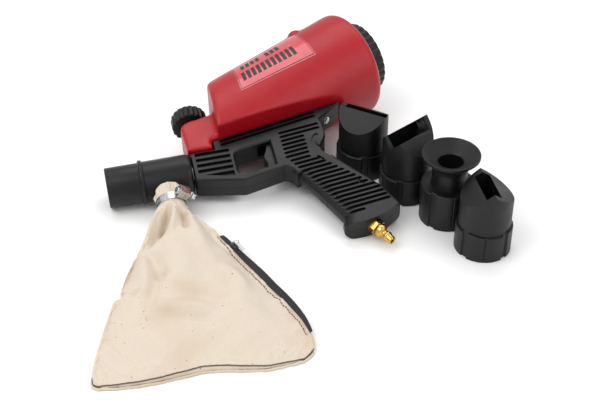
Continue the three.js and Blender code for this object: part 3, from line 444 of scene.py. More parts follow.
def barrel():
    profile = [(BORE_R, 1.2), (BORE_R + 0.7, 0.2), (SPIGOT_R - 0.8, 0), (SPIGOT_R - 0.1, 0.5),
               (SPIGOT_R, 1.3), (SPIGOT_R, 33.6), (COLLAR_R - 0.7, 34.0), (COLLAR_R - 0.1, 34.6),
               (COLLAR_R, 35.4), (COLLAR_R, 36.8), (COLLAR_R - 0.2, 37.5), (BARREL_R + 0.5, 38.2),
               (BARREL_R, 39.2), (BARREL_R, 82.0), (BARREL_R - 0.5, 84.6), (BARREL_R - 1.8, 86.4),
               (BARREL_R - 3.6, 87.0), (8.6, 87.0), (8.6, 84.0), (BORE_R, 84.0), (BORE_R, 1.2)]
    obj = mesh_object("barrel_fine", *lathe(profile, 144), along((0, 0, 0), (1, 0, 0)), BLACK)
    port = mesh_object("port", *lathe([(0, 15), (PORT_R, 15), (PORT_R, 45), (0, 45)], 72),
                       along((PORT_X, 0, 0), (0, -1, 0)))
    bore = mesh_object("bore", *lathe([(0, 2), (BORE_R + 0.02, 2), (BORE_R + 0.02, 83), (0, 83)], 144),
                       along((0, 0, 0), (1, 0, 0)))
    combine(port, bore, "DIFFERENCE")
    combine(obj, port, "UNION")
    hole = mesh_object("hole", *lathe([(0, 5), (PORT_R - 2.2, 5), (PORT_R - 2.2, 50), (0, 50)], 72),
                       along((PORT_X, 0, 0), (0, -1, 0)))
    combine(obj, hole, "DIFFERENCE")
    obj.data.materials.clear()
    obj.data.materials.append(BLACK)
    smooth(obj, 40)
    place(obj, "gun", "black_plastic", "barrel")


def barrel_seams():
    """The faint parting lines that the mould leaves along the barrel."""
    for side, angle in enumerate((58.0, 238.0)):
        a = math.radians(angle)
        rings = []
        for x in (1.5, 20.0, 33.4):
            rings.append([(x, (SPIGOT_R + d) * math.cos(a + s), (SPIGOT_R + d) * math.sin(a + s))
                          for s, d in ((-0.012, -0.1), (0.0, 0.07), (0.012, -0.1))])
        obj = mesh_object(f"barrel_seam_{side + 1}", *tube_of(rings), GUN, BLACK, 30)
        place(obj, "gun", "black_plastic")


barrel()
barrel_seams()

# ------------------------------------------------------------------ hopper
HOPPER_START = Vector((140, 66.4, 0))
SLOPE = math.radians(22.6)
H_AXIS = Vector((math.cos(SLOPE), math.sin(SLOPE), 0))
H_ACROSS = Vector((-math.sin(SLOPE), math.cos(SLOPE), 0))
H_LENGTH, H_RIM = 161.0, 9.0
RAIL = (113.6, 29.5, 256.0, 57.5)
HOPPER_FRONT = 121.0


def rail_top(x):
    return RAIL[1] + (x - RAIL[0]) * (RAIL[3] - RAIL[1]) / (RAIL[2] - RAIL[0])


def half_height(s):
    return 52.4 + 0.035 * s


def half_width(s):
    return 40.3 + 0.116 * s


def hopper_point(s, angle, lift=0.0):
    return (HOPPER_START + H_AXIS * s + H_ACROSS * (half_height(s) + lift) * math.cos(angle)
            + Vector((0, 0, 1)) * (half_width(s) + lift) * math.sin(angle))


def hopper_ring(s, lift, count=144):
    return [hopper_point(s, 2 * math.pi * i / count, lift) for i in range(count)]


def solid_cone():
    back = H_LENGTH
    rings = [hopper_ring(-50, 0)] + [hopper_ring(s, 0) for s in range(-30, 150, 12)]
    for i in range(8):
        a = math.pi / 2 * i / 7
        rings.append(hopper_ring(back - H_RIM + H_RIM * math.sin(a), -H_RIM + H_RIM * math.cos(a)))
    return mesh_object("cone", *tube_of(rings), GUN)


LUG_RADII = (7.0, 6.0, 9.0)
SKIN_CELL = 1.15


def hopper():
    obj = solid_cone()
    side = [(HOPPER_FRONT, rail_top(HOPPER_FRONT) + 0.5), (RAIL[2], rail_top(RAIL[2]) + 0.4),
            (RAIL[2] + 40, rail_top(RAIL[2]) - 10), (500, 40), (500, 300), (170, 300)]
    side += [(HOPPER_FRONT + 22, 121), (HOPPER_FRONT + 10, 114.5), (HOPPER_FRONT + 3, 107),
             (HOPPER_FRONT, 98)]
    combine(obj, mesh_object("side", *prism(side, -90, 90), GUN), "INTERSECT")
    left, right, bottom = 84.2, 113.1, 17.9
    sump = arc(left + 5, bottom + 3, 3.0, 180, 270, 4)
    ledge = HOPPER_FRONT + 14
    sump += [(right, bottom), (right, rail_top(right) + 0.4), (ledge, rail_top(ledge) + 0.4), (ledge, 70)]
    sump += [(right + 3, 66), (left + 11, 60.6), (left + 5, 58.4), (left + 1.2, 54.0), (left, 48.0)]
    box = mesh_object("sump", *prism(sump, -17, 17), GUN)
    modify(box, "BEVEL", width=4.0 * MM, segments=4, limit_method="ANGLE", angle_limit=math.radians(50))
    bake(box)
    combine(obj, box, "UNION")
    combine(obj, mesh_object("seat", *lathe([(0, 60), (21.4, 60), (21.4, 87.4), (0, 87.4)], 96),
                             along((0, 0, 0), (1, 0, 0))), "DIFFERENCE")
    lug_at = hopper_point(112, math.radians(41), -2.8)
    lug = bpy.data.meshes.new("lug")
    work = bmesh.new()
    bmesh.ops.create_uvsphere(work, u_segments=32, v_segments=20, radius=1.0)
    lug_shape = along(lug_at, H_AXIS) @ Matrix.Diagonal((*LUG_RADII, 1))
    bmesh.ops.transform(work, matrix=lug_shape, verts=work.verts)
    work.to_mesh(lug)
    work.free()
    ball = bpy.data.objects.new("lug", lug)
    bpy.context.scene.collection.objects.link(ball)
    combine(obj, ball, "UNION")
    modify(obj, "REMESH", mode="VOXEL", voxel_size=SKIN_CELL * MM, use_smooth_shade=True)
    bake(obj)
    soften(obj)
    neck_at = HOPPER_START + H_AXIS * H_LENGTH
    neck_profile = [(31.6, -3), (34, -3), (34, 10.4), (33.4, 11), (31.6, 11), (31.6, -3)]
    neck = mesh_object("hopper_neck", *lathe(neck_profile, 96), along(neck_at, H_AXIS), RED)
    obj.name = "hopper_fine"
    obj.data.materials.clear()
    obj.data.materials.append(RED)
    smooth(obj, None)
    place(neck, "gun", "red_plastic")
    place(obj, "gun", "red_plastic", "hopper")


def soften(obj):
    """Rounds a voxel skin, most where the wide step meets the sump and least on the flat seat."""
    work = bmesh.new()
    work.from_mesh(obj.data)
    inverse = GUN.inverted()
    gun_place = {v: inverse @ v.co for v in work.verts}
    fixed = {v for v, p in gun_place.items() if p.x < 118 and p.y < 20}
    everywhere, steps = 8, 26
    axes = {"use_axis_x": True, "use_axis_y": True, "use_axis_z": True}
    for step in range(steps):
        moved = [v for v in work.verts if v not in fixed
                 and (step < everywhere or 100 < gun_place[v].x < 142 and gun_place[v].y > 20)]
        bmesh.ops.smooth_vert(work, verts=moved, factor=0.5, **axes)
    work.to_mesh(obj.data)
    work.free()


hopper()

# ------------------------------------------------------------------ label
LABEL_CORNERS = ((12, 96), (28, 46), (108, 48), (102, 104))


def label_place(s, t):
    (a, b), (c, d), (e, f), (g, h) = LABEL_CORNERS
    front = (a + (c - a) * t, b + (d - b) * t)
    rear = (g + (e - g) * t, h + (f - h) * t)
    return front[0] + (rear[0] - front[0]) * s, math.radians(front[1] + (rear[1] - front[1]) * s)


def label_patch(name, s0, s1, t0, t1, low, high, material, columns=30, rows=10):
    top, base, faces = [], [], []
    for j in range(rows + 1):
        for i in range(columns + 1):
            at = label_place(s0 + (s1 - s0) * i / columns, t0 + (t1 - t0) * j / rows)
            top.append(hopper_point(*at, high))
            base.append(hopper_point(*at, low))
    size = len(top)
    wide = columns + 1
    for j in range(rows):
        for i in range(columns):
            a = j * wide + i
            faces.append((a, a + 1, a + wide + 1, a + wide))
            faces.append((size + a, size + a + wide, size + a + wide + 1, size + a + 1))
    rim = list(range(wide)) + [wide * j + columns for j in range(1, rows + 1)]
    rim += [wide * rows + i for i in range(columns - 1, -1, -1)] + [wide * j for j in range(rows - 1, 0, -1)]
    for k, a in enumerate(rim):
        b = rim[(k + 1) % len(rim)]
        faces.append((a, size + a, size + b, b))
    return mesh_object(name, top + base, faces, GUN, material, 40)


def label():
    film = Look("label_film", srgb(196, 60, 70), 0.16, Coat_Weight=0.5, Coat_Roughness=0.12)
    film.tint(film.ramp(film.noise(60, 3.0), 0.4, 0.75, 0.0, 0.5), srgb(206, 92, 100))
    film.bump(film.noise(90, 2.0), 0.0004, 0.25)
    ink = Look("label_ink", srgb(44, 20, 24), 0.4)
    ink.tint(ink.ramp(ink.noise(400, 3.0), 0.5, 0.8, 0.0, 0.4), srgb(84, 30, 38))
    place(label_patch("label_film", 0, 1, 0, 1, -0.2, 0.28, film.mat), "gun", "clear_label", "label")
    thin_s, thin_t = 0.006, 0.018
    left, right, bottom, top = 0.012, 0.988, 0.03, 0.97
    lines = ((left, right, bottom, bottom + thin_t), (left, right, top - thin_t, top),
             (left, left + thin_s, bottom, top), (right - thin_s, right, bottom, top))
    for i, (s0, s1, t0, t1) in enumerate(lines):
        line = label_patch(f"label_line_{i + 1}", s0, s1, t0, t1, 0.2, 0.36, ink.mat, 30, 8)
        place(line, "gun", "clear_label")
    for row, (t0, s0, s1) in enumerate(((0.62, 0.10, 0.70), (0.22, 0.07, 0.84))):
        count = 8 if row == 0 else 11
        step = (s1 - s0) / count
        for k in range(count):
            if row == 0 and k == 4:
                continue
            place(label_patch(f"label_bar_{row + 1}_{k + 1}", s0 + k * step, s0 + (k + 0.66) * step, t0,
                              t0 + (0.2 if row == 0 else 0.28),
                              0.2, 0.36, ink.mat, 3, 3), "gun", "clear_label")


label()

# ------------------------------------------------------------------ cap and knob
CAP_R, CAP_HEIGHT, CAP_FLUTES = 39.0, 16.0, 26
KNOB_R, KNOB_HEIGHT, KNOB_FLUTES = 19.0, 15.5, 18


def fluted_ring(radius, depth, count, height, per=10):
    ring = []
    for i in range(count * per):
        a = 2 * math.pi * i / (count * per)
        wave = 0.5 - 0.5 * math.cos(a * count)
        r = radius - depth * wave ** 3
        ring.append((r * math.cos(a), r * math.sin(a), height))
    return ring


def fluted_knob(name, radius, depth, count, height, matrix, inner):
    """A grip with rounded edges, flutes that fade at its top, and a dished face."""
    spec = ((0.0, -1.0, 1.0), (0.5, -0.25, 1.0), (1.2, 0.0, 1.0), (height - 3.0, 0.0, 1.0),
            (height - 1.6, -0.4, 0.9), (height - 0.6, -1.2, 0.6), (height - 0.1, -2.4, 0.2),
            (height, -3.8, 0.0), (height, -5.0, 0.0), (height - 0.8, -5.8, 0.0),
            (height - 0.9, -radius * 0.5, 0.0))
    rings = [fluted_ring(radius + lift, depth * fade, count, h) for h, lift, fade in spec]
    per = len(rings[0])
    verts, faces = tube_of(rings, cap=False)
    faces.append(tuple(range((len(rings) - 1) * per, len(rings) * per)))
    base = len(verts)
    for r, h in ((inner, 0.0), (inner, height - 3.2)):
        for i in range(per):
            a = 2 * math.pi * i / per
            verts.append((r * math.cos(a), r * math.sin(a), h))
    for i in range(per):
        j = (i + 1) % per
        faces.append((i, j, base + j, base + i))
        faces.append((base + i, base + j, base + per + j, base + per + i))
    faces.append(tuple(range(base + per, base + 2 * per)))
    return mesh_object(name, verts, faces, matrix, BLACK, 32)


mouth = HOPPER_START + H_AXIS * (H_LENGTH + 2)
place(fluted_knob("hopper_cap_fine", CAP_R, 1.6, CAP_FLUTES, CAP_HEIGHT, along(mouth, H_AXIS), 34.5),
      "cap", "black_plastic", "hopper_cap")
knob_place = along((96.5, 67, 0), (0, 1, 0))
place(fluted_knob("flow_knob_fine", KNOB_R, 1.5, KNOB_FLUTES, KNOB_HEIGHT, knob_place, 3.9),
      "flow_control", "black_plastic", "flow_knob")

# ------------------------------------------------------------------ air plug
SEAT = (250.5, -109.0, 0.0)
GRIP_AXIS = (0.427, -0.904, 0.0)
PLUG = along(SEAT, GRIP_AXIS)
PLUG_FLATS = 14.0


def hexagon(flats):
    """A hexagon's corners, from its width across the flats."""
    radius = flats / math.sqrt(3)
    return [(radius * math.cos(math.pi / 3 * i), radius * math.sin(math.pi / 3 * i)) for i in range(6)]


def air_plug():
    profile = [(2.3, -11), (4.3, -11), (4.9, -10), (4.9, 6.4), (6.6, 6.6), (7.0, 7.1), (7.0, 12.4),
               (6.4, 13.3), (5.6, 14.0), (4.2, 14.5), (3.9, 15.0), (3.9, 17.4), (4.4, 18.0), (5.2, 18.5),
               (5.35, 19.0), (5.35, 20.1), (5.0, 20.6), (4.6, 20.9), (4.45, 22.0), (4.2, 26.0),
               (3.9, 26.8), (3.4, 27.2), (2.9, 27.1), (2.3, 26.4), (2.3, -11)]
    obj = mesh_object("air_plug_fine", *lathe(profile, 72), PLUG, BRASS, 40)
    place(obj, "gun", "brass", "air_plug")
    block = mesh_object("plug_hexagon", *prism(hexagon(PLUG_FLATS), 0.5, 6.6), PLUG, BRASS)
    chamfers = [(0, 0), (6.9, 0), (8.2, 1.1), (8.2, 5.9), (6.9, 7.0), (0, 7.0)]
    round_off = mesh_object("round", *lathe(chamfers, 72), PLUG)
    combine(block, round_off, "INTERSECT")
    block.data.materials.clear()
    block.data.materials.append(BRASS)
    smooth(block, 25)
    edge_round(block, 0.15, 2)
    place(block, "gun", "brass")


air_plug()

# ------------------------------------------------------------------ hose clamp
BAND_R, BAND_OUT, BAND_TOP, BAND_WIDTH = 14.5, 15.3, 33.0, 9.0


WORM_R, WORM_DEPTH, WORM_PITCH, SCREW_FLATS = 2.9, 0.28, 1.9, 7.0


def worm_ring(h, sides=24):
    """One ring of the worm at the height h; the thread's crest winds round with h."""
    ring = []
    for j in range(sides):
        a = 2 * math.pi * j / sides
        r = WORM_R + WORM_DEPTH * math.cos(2 * math.pi * (h / WORM_PITCH) + a)
        ring.append((r * math.cos(a), r * math.sin(a), h))
    return ring


def clamp():
    band = along((PORT_X, -BAND_TOP, 0), (0, -1, 0))
    h = BAND_WIDTH
    profile = [(BAND_R, 0.2), (BAND_R + 0.15, 0), (BAND_OUT - 0.1, 0.0), (BAND_OUT, 0.35),
               (BAND_OUT - 0.1, 0.8), (BAND_OUT - 0.1, h - 0.8), (BAND_OUT, h - 0.35), (BAND_OUT - 0.1, h),
               (BAND_R + 0.15, h), (BAND_R, h - 0.2), (BAND_R, 0.2)]
    obj = mesh_object("clamp_band_fine", *lathe(profile, 144), band, ZINC, 40)
    verts, faces = [], []
    pitch = 11.0
    for k in range(24):
        a = math.radians(62 + k * pitch)
        out, side = Vector((math.cos(a), math.sin(a), 0)), Vector((-math.sin(a), math.cos(a), 0))
        middle = out * (BAND_OUT - 0.1) + Vector((0, 0, h / 2))
        lean = Vector((0, 0, 1)) * 2.7 + side * 0.55
        base = len(verts)
        for depth in (-0.35, 0.6):
            for p in (-1, 1):
                for q in (-1, 1):
                    verts.append(middle + out * depth + lean * p + side * 0.62 * q)
        for quad in ((0, 1, 3, 2), (4, 6, 7, 5), (0, 4, 5, 1), (2, 3, 7, 6), (0, 2, 6, 4), (1, 5, 7, 3)):
            faces.append([base + v for v in quad])
    combine(obj, mesh_object("slots", verts, faces, band), "DIFFERENCE")
    obj.data.materials.clear()
    obj.data.materials.append(ZINC)
    smooth(obj, 30)
    place(obj, "gun", "steel", "clamp_band")
    place(copy_node("clamp_housing", ZINC, 1.0, 3), "gun", "steel", "clamp_housing")
    axis = Vector(joints["clamp_screw_turn"]["axis"])
    at = Vector(joints["clamp_screw_turn"]["pos_m"])
    screw = Matrix.Translation(at) @ Vector((0, 0, 1)).rotation_difference(axis).to_matrix().to_4x4() @ FLOOR
    steps, turns, rings = 16, 8, []
    low, high = -8.6, 9.0
    for i in range(steps * turns * 2 + 1):
        h = low + (high - low) * i / (steps * turns * 2)
        rings.append(worm_ring(h))
    worm = mesh_object("clamp_worm", *tube_of(rings), screw, ZINC, 50)
    place(worm, "clamp_screw", "steel", "clamp_screw")
    head = mesh_object("clamp_head", *prism(hexagon(SCREW_FLATS), 9.2, 13.5), screw, ZINC)
    combine(head, mesh_object("driver_slot", *cuboid(-0.5, -5, 12.1, 0.5, 5, 15), screw), "DIFFERENCE")
    head.data.materials.clear()
    head.data.materials.append(ZINC)
    edge_round(head, 0.3, 2)
    place(head, "clamp_screw", "steel")


clamp()

# ------------------------------------------------------------------ recovery bag
PORT_END = GUN @ Vector((PORT_X, -45.0, 0)) / MM
BAG_LEFT = [(-17, -7), (-23, -20), (-24, -40), (-31, -70), (-37, -98), (-39, -114), (-39, -121), (-44, -128),
            (-47, -150), (-50, -178), (-52, -204), (-52, -222), (-48, -230)]
BAG_RIGHT = [(18, -6), (38, -20), (50, -34), (66, -58), (83, -82), (98, -104), (114, -126), (128, -147),
             (137, -166), (140, -182), (132, -195)]
BAG_BOTTOM = [(-52, -222), (-49, -229), (-40, -230), (-20, -228), (0, -224), (25, -216), (48, -209),
              (75, -208), (98, -207), (112, -203), (124, -199), (132, -195), (139, -186)]
BAG_HEIGHT = [28, 29, 28, 27, 26, 25, 23, 21, 17, 11, 5]
FOLDS = (
    # soft ridges and valleys: from x, y to x, y, half width, height
    (-132, -24, -136, -46, 3.2, -5.5), (-136, -46, -148, -64, 4.0, -3.0),
    (-125, -22, -128, -52, 4.0, 2.6), (-120, -22, -114, -46, 2.8, -3.6),
    (-143, -22, -150, -52, 4.0, 2.4), (-110, -30, -96, -70, 7.0, 2.0),
    (-144, -82, -133, -112, 6.5, -2.6), (-133, -112, -142, -148, 5.5, -2.2),
    (-152, -88, -146, -130, 6.0, 2.0), (-118, -80, -112, -120, 12.0, 1.8),
    (-132, -166, -88, -172, 8.0, -2.4), (-130, -152, -92, -157, 7.0, 1.6),
    (-94, -140, -70, -146, 7.0, -1.7), (-74, -222, -70, -188, 7.0, -2.2),
    (-56, -218, -50, -190, 6.0, 1.8), (-34, -212, -30, -186, 6.0, -1.8),
    (-170, -136, -156, -132, 3.0, -2.6), (-172, -146, -158, -144, 3.5, 1.6),
    (-168, -196, -120, -204, 9.0, 1.6), (-46, -130, -22, -160, 7.0, -1.5),
    (-70, -100, -40, -140, 6.0, 1.5),
)
AROUND, ALONG = 112, 96
NECK_RINGS = (
    # share of the frill (below 1) or distance down the neck, spread of the radius, waviness
    (0.0, 1.03, 0.3), (0.12, 1.07, 0.6), (0.35, 1.1, 0.8), (0.65, 1.07, 0.7), (0.92, 1.0, 0.1),
    (36, 1.0, 0.0), (40, 1.0, 0.0), (42.4, 1.0, 0.15), (44.5, 1.04, 0.7),
)


def fold_lift(x, y):
    lift = 0.0
    for ax, ay, bx, by, width, height in FOLDS:
        dx, dy = bx - ax, by - ay
        t = max(0.0, min(1.0, ((x - ax) * dx + (y - ay) * dy) / (dx * dx + dy * dy)))
        d2 = (x - ax - t * dx) ** 2 + (y - ay - t * dy) ** 2
        lift += height * math.exp(-d2 / (width * width))
    return lift


def bottom_y(x):
    """The wavy bottom seam, from the port's end."""
    for (ax, ay), (bx, by) in zip(BAG_BOTTOM[1:], BAG_BOTTOM[2:]):
        if ax <= x <= bx:
            return ay + (by - ay) * (x - ax) / (bx - ax)
    return BAG_BOTTOM[1][1] if x < 0 else BAG_BOTTOM[-2][1]


def bag_rings():
    down = -V
    side = Vector((U.x, U.y, U.z))
    up = W
    rings = []
    neck_r = BAND_R - 0.35
    neck_top = GUN @ Vector((PORT_X, 0, 0)) / MM
    for reach, spread, frill in NECK_RINGS:
        ring = []
        for j in range(AROUND):
            a = 2 * math.pi * j / AROUND
            wobble = frill * (math.sin(8 * a + 1.3) + 0.6 * math.sin(13 * a + 0.4) + 0.4 * math.sin(21 * a))
            r = neck_r * spread + wobble
            if reach < 1:
                # the frill's edge follows the barrel, up to the clamp
                saddle = math.sqrt(BARREL_R ** 2 - (0.9 * neck_r * math.sin(a)) ** 2)
                saddle = saddle + 1.6 + 0.8 * math.sin(5 * a)
                along_neck = saddle + (BAND_TOP - 0.4 - saddle) * reach
            else:
                along_neck = reach
            p = neck_top + down * along_neck + side * r * math.cos(a) + up * r * math.sin(a)
            p.z = max(p.z, 0.4)
            ring.append(p)
        rings.append(ring)
    last = rings[-1]
    for i in range(1, ALONG + 1):
        t = i / ALONG
        lx, ly = spline(BAG_LEFT, t)
        rx, ry = spline(BAG_RIGHT, t)
        height = spline([(h,) for h in BAG_HEIGHT], t)[0]
        left = Vector((PORT_END.x + lx, PORT_END.y + ly, 0))
        right = Vector((PORT_END.x + rx, PORT_END.y + ry, 0))
        centre, reach = (left + right) / 2, (right - left) / 2
        ring = []
        mix = min(1.0, t / 0.16)
        mix = mix * mix * (3 - 2 * mix)
        for j in range(AROUND):
            a = 2 * math.pi * j / AROUND
            c, s = math.cos(a), math.sin(a)
            flat = (1 - abs(c) ** 2.4) ** 0.75
            top = height * (0.32 + 0.68 * flat)
            low = height * 0.32 * (1 - flat)
            z = top if s > 0 else low + 0.6
            if abs(s) < 0.05:
                z = height * 0.32
            p = centre + reach * c
            p.z = z
            if t > 0.82:
                x = min(max(p.x - PORT_END.x, BAG_BOTTOM[0][0]), BAG_BOTTOM[-2][0])
                hem = bottom_y(x)
                line_end = PORT_END.y + BAG_LEFT[-1][1] + (BAG_RIGHT[-1][1] - BAG_LEFT[-1][1]) * (
                    (x - BAG_LEFT[-1][0]) / (BAG_RIGHT[-1][0] - BAG_LEFT[-1][0]))
                p.y += (PORT_END.y + hem - line_end) * ((t - 0.82) / 0.18) ** 2
            first = last[j] + Vector((0, -1, 0)) * 60 * t
            p = first.lerp(p, mix)
            ring.append(p)
        rings.append(ring)
    return rings


def bag():
    rings = bag_rings()
    verts, faces = tube_of([[tuple(p) for p in ring] for ring in rings], cap=False)
    count = len(rings[0])
    last = (len(rings) - 1) * count
    half = count // 2
    for j in range(1, half):
        a, b = last + j, last + count - j
        c, d = last + j + 1, last + (count - j - 1) % count
        faces.append((a, c, d, b) if c != d else (a, c, b))
    faces.append((last, last + 1, last + count - 1))
    mesh = bpy.data.meshes.new("recovery_bag_fine")
    mesh.from_pydata(verts, [], faces)
    work = bmesh.new()
    work.from_mesh(mesh)
    for v in work.verts:
        v.co.z = max(v.co.z, 0.4)
    bmesh.ops.triangulate(work, faces=[f for f in work.faces if len(f.verts) > 4])
    bmesh.ops.recalc_face_normals(work, faces=work.faces)
    work.to_mesh(mesh)
    work.free()
    mesh.transform(FLOOR)
    obj = bpy.data.objects.new("recovery_bag_fine", mesh)
    bpy.context.scene.collection.objects.link(obj)
    mesh.materials.append(CANVAS)
    smooth(obj, None)
    drape(obj, count)
    crumple(obj)
    modify(obj, "SUBSURF", levels=1, render_levels=1)
    bake(obj)
    smooth(obj, None)
    return obj


def crumple(obj):
    """Adds the lying folds and the fine creases on the cloth's upper side."""
    for v in obj.data.vertices:
        x, y, z = v.co / MM
        if y >= PORT_END.y - 4 or z <= 6:
            continue
        weight = min(1.0, (z - 6) / 8) * min(1.0, (PORT_END.y - 4 - y) / 10)
        lift = 2.5 * fold_lift(x, y)
        lift += 2.4 * noise.noise(Vector((x / 38, y / 30, 1.0)))
        lift += 1.9 * noise.noise(Vector((x / 16, y / 18, 4.0)))
        v.co.z += lift * weight * MM


SLACK, SIM_FRAMES, MOST_MOVE = 0.05, 22, 0.007


def drape(obj, count):
    """Lets slack cloth buckle and settle, held at the clamped neck and along its sewn seams."""
    group = obj.vertex_groups.new(name="held")
    rows = len(obj.data.vertices) // count
    for row in range(rows):
        for j in range(count):
            off_seam = min(j, count - j, abs(j - count // 2))
            if row < 10 or row > rows - 5 or off_seam < 4:
                group.add([row * count + j], 1.0, "REPLACE")
    start = [v.co.copy() for v in obj.data.vertices]
    floor_mesh = bpy.data.meshes.new("sim_floor")
    size = 0.6
    corners = [(-size, -size, 0), (size, -size, 0), (size, size, 0), (-size, size, 0)]
    floor_mesh.from_pydata(corners, [], [(0, 1, 2, 3)])
    ground = bpy.data.objects.new("sim_floor", floor_mesh)
    bpy.context.scene.collection.objects.link(ground)
    modify(ground, "COLLISION")
    ground.collision.thickness_outer = 0.0006
    cloth = modify(obj, "CLOTH")
    settings = cloth.settings
    settings.quality = 6
    settings.mass = 0.12
    settings.tension_stiffness = 30
    settings.compression_stiffness = 30
    settings.shear_stiffness = 12
    settings.bending_stiffness = 0.12
    settings.shrink_min = -SLACK
    settings.shrink_max = -SLACK
    settings.use_pressure = True
    settings.uniform_pressure_force = 0.1
    settings.vertex_group_mass = "held"
    settings.effector_weights.gravity = 0.35
    cloth.collision_settings.use_collision = True
    cloth.collision_settings.distance_min = 0.0008
    cloth.point_cache.frame_start = 1
    cloth.point_cache.frame_end = 24
    scene = bpy.context.scene
    for number in range(1, SIM_FRAMES + 1):
        scene.frame_set(number)
    bake(obj)
    scene.frame_set(1)
    for vertex, before in zip(obj.data.vertices, start):
        move = vertex.co - before
        if move.length > MOST_MOVE:
            vertex.co = before + move.normalized() * MOST_MOVE
        vertex.co.z = max(vertex.co.z, 0.0004)
    bpy.data.objects.remove(ground)


bag_piece = place(bag(), "gun", "canvas", "recovery_bag")


def surface_point(obj, x, y, lift=0.4):
    """The point of obj under or over x, y, or one just over the floor where there is none."""
    hit, where, _, _ = obj.ray_cast(Vector((x * MM, y * MM, 0.2)), Vector((0, 0, -1)))
    return (where / MM + Vector((0, 0, lift))) if hit else Vector((x, y, 2.0))


def cord_of_thread(name, points, radius, material, slot, sides=8):
    rings = []
    for i, p in enumerate(points):
        ahead = points[min(i + 1, len(points) - 1)] - points[max(i - 1, 0)]
        turn = Vector((0, 0, 1)).rotation_difference(ahead.normalized()).to_matrix()
        angles = [2 * math.pi * j / sides for j in range(sides)]
        rings.append([p + turn @ Vector((radius * math.cos(a), radius * math.sin(a), 0)) for a in angles])
    obj = mesh_object(name, *tube_of(rings), FLOOR, material, None)
    return place(obj, "gun", slot)


ZIP_RUN = BAG_RIGHT[2:9]


def hem_and_seams():
    """The rolled hem under the bottom edge, its dark overlock thread, and the stitching beside the zip."""
    bottom = [(PORT_END.x + x, PORT_END.y + y) for x, y in BAG_BOTTOM]
    hem, seam = [], []
    count = 150
    for i in range(count + 1):
        x, y = spline(bottom, i / count)
        wave = 0.25 * math.sin(i * 0.55) + 0.2 * math.sin(i * 1.7)
        hem.append(Vector((x, y - 0.9 + wave, 1.25 + 0.2 * math.sin(i * 0.31))))
        seam.append(surface_point(bag_piece, x + 0.1, y + 1.7 + 0.4 * wave, 0.15))
    cord_of_thread("bag_hem", hem, 1.15, CANVAS, "canvas", 12)
    for name, lift, lag in (("hem_thread_1", 0.0, 0.0), ("hem_thread_2", -0.1, 0.9)):
        route = [p + Vector((0, lift - lag, 0.12 * math.sin(2.6 * k))) for k, p in enumerate(seam)]
        cord_of_thread(name, route, 0.27, THREAD, "canvas", 6)
    edge = [(PORT_END.x + x, PORT_END.y + y) for x, y in ZIP_RUN]
    pitch, length = 1 / 46, 0.78
    verts, faces = [], []
    for k in range(46):
        points = []
        for q in range(5):
            t = (k + length * q / 4) * pitch
            x, y = spline(edge, t)
            ahead = spline(edge, min(1.0, t + 0.01))
            run = math.hypot(ahead[0] - x, ahead[1] - y) or 1.0
            inset = 4.6 + 0.35 * math.sin(k * 1.9)
            px = x + (ahead[1] - y) / run * inset
            py = y - (ahead[0] - x) / run * inset
            points.append(surface_point(bag_piece, px, py, 0.3 - 0.45 * (q in (0, 4))))
        run = (points[-1] - points[0]).normalized()
        turn = Vector((0, 0, 1)).rotation_difference(run).to_matrix()
        rings = [[p + turn @ Vector((0.4 * math.cos(math.pi / 3 * j), 0.4 * math.sin(math.pi / 3 * j), 0))
                  for j in range(6)] for p in points]
        v, f = tube_of(rings)
        faces += [[len(verts) + n for n in face] for face in f]
        verts += v
    place(mesh_object("zip_stitches", verts, faces, FLOOR, THREAD, None), "gun", "canvas")


def zip_pieces():
    d = Vector(joints["zip_slide"]["axis"])
    n = Vector((-d.y, d.x, 0))
    rail = [Vector((PORT_END.x + x, PORT_END.y + y, 0)) for x, y in ZIP_RUN]
    count, spread = 60, 5
    half_thick = Vector((0, 0, 0.45))
    rings, inner = [], []
    for i in range(count + 1):
        x, y = spline([(p.x, p.y) for p in rail], i / count)
        inner.append(surface_point(bag_piece, x - 1.8 * n.x, y - 1.8 * n.y, 0.6))
    for i in range(count + 1):
        t = i / count
        near = inner[max(0, i - spread):i + spread + 1]
        width = 1.4 + 2.9 * math.sin(math.pi * min(1.0, 0.06 + t * 0.94)) ** 0.8
        base = Vector((inner[i].x, inner[i].y, sum(p.z for p in near) / len(near)))
        lift = Vector((0, 0, 1)) * 3.2 * math.sin(math.pi * t) ** 0.8
        outer = base + n * (width + 1.4) + lift
        rings.append([base + half_thick, outer + half_thick, outer - half_thick, base - half_thick])
    tape = mesh_object("zip_tape_fine", *tube_of(rings), FLOOR, TAPE, 40)
    place(tape, "gun", "zip_cloth", "zip_tape")


hem_and_seams()
zip_pieces()


def zip_metal():
    black_zinc = zinc("dark_zinc", (0.10, 0.10, 0.11, 1), 0.3, 0.5)
    slider = copy_node("zip_slider", black_zinc, 0.9, 3)
    place(slider, "zip_slider", "steel", "zip_slider")
    place(copy_node("zip_puller", ZINC, 0.5, 3), "zip_puller", "steel", "zip_puller")


zip_metal()

# ------------------------------------------------------------------ nozzle tips
SOCKET_R, TIP_BASE_R, TIP_BASE_H, DISC_BASE_H = 21.2, 27.7, 30.0, 42.0
TIP_BODY_R = 25.6


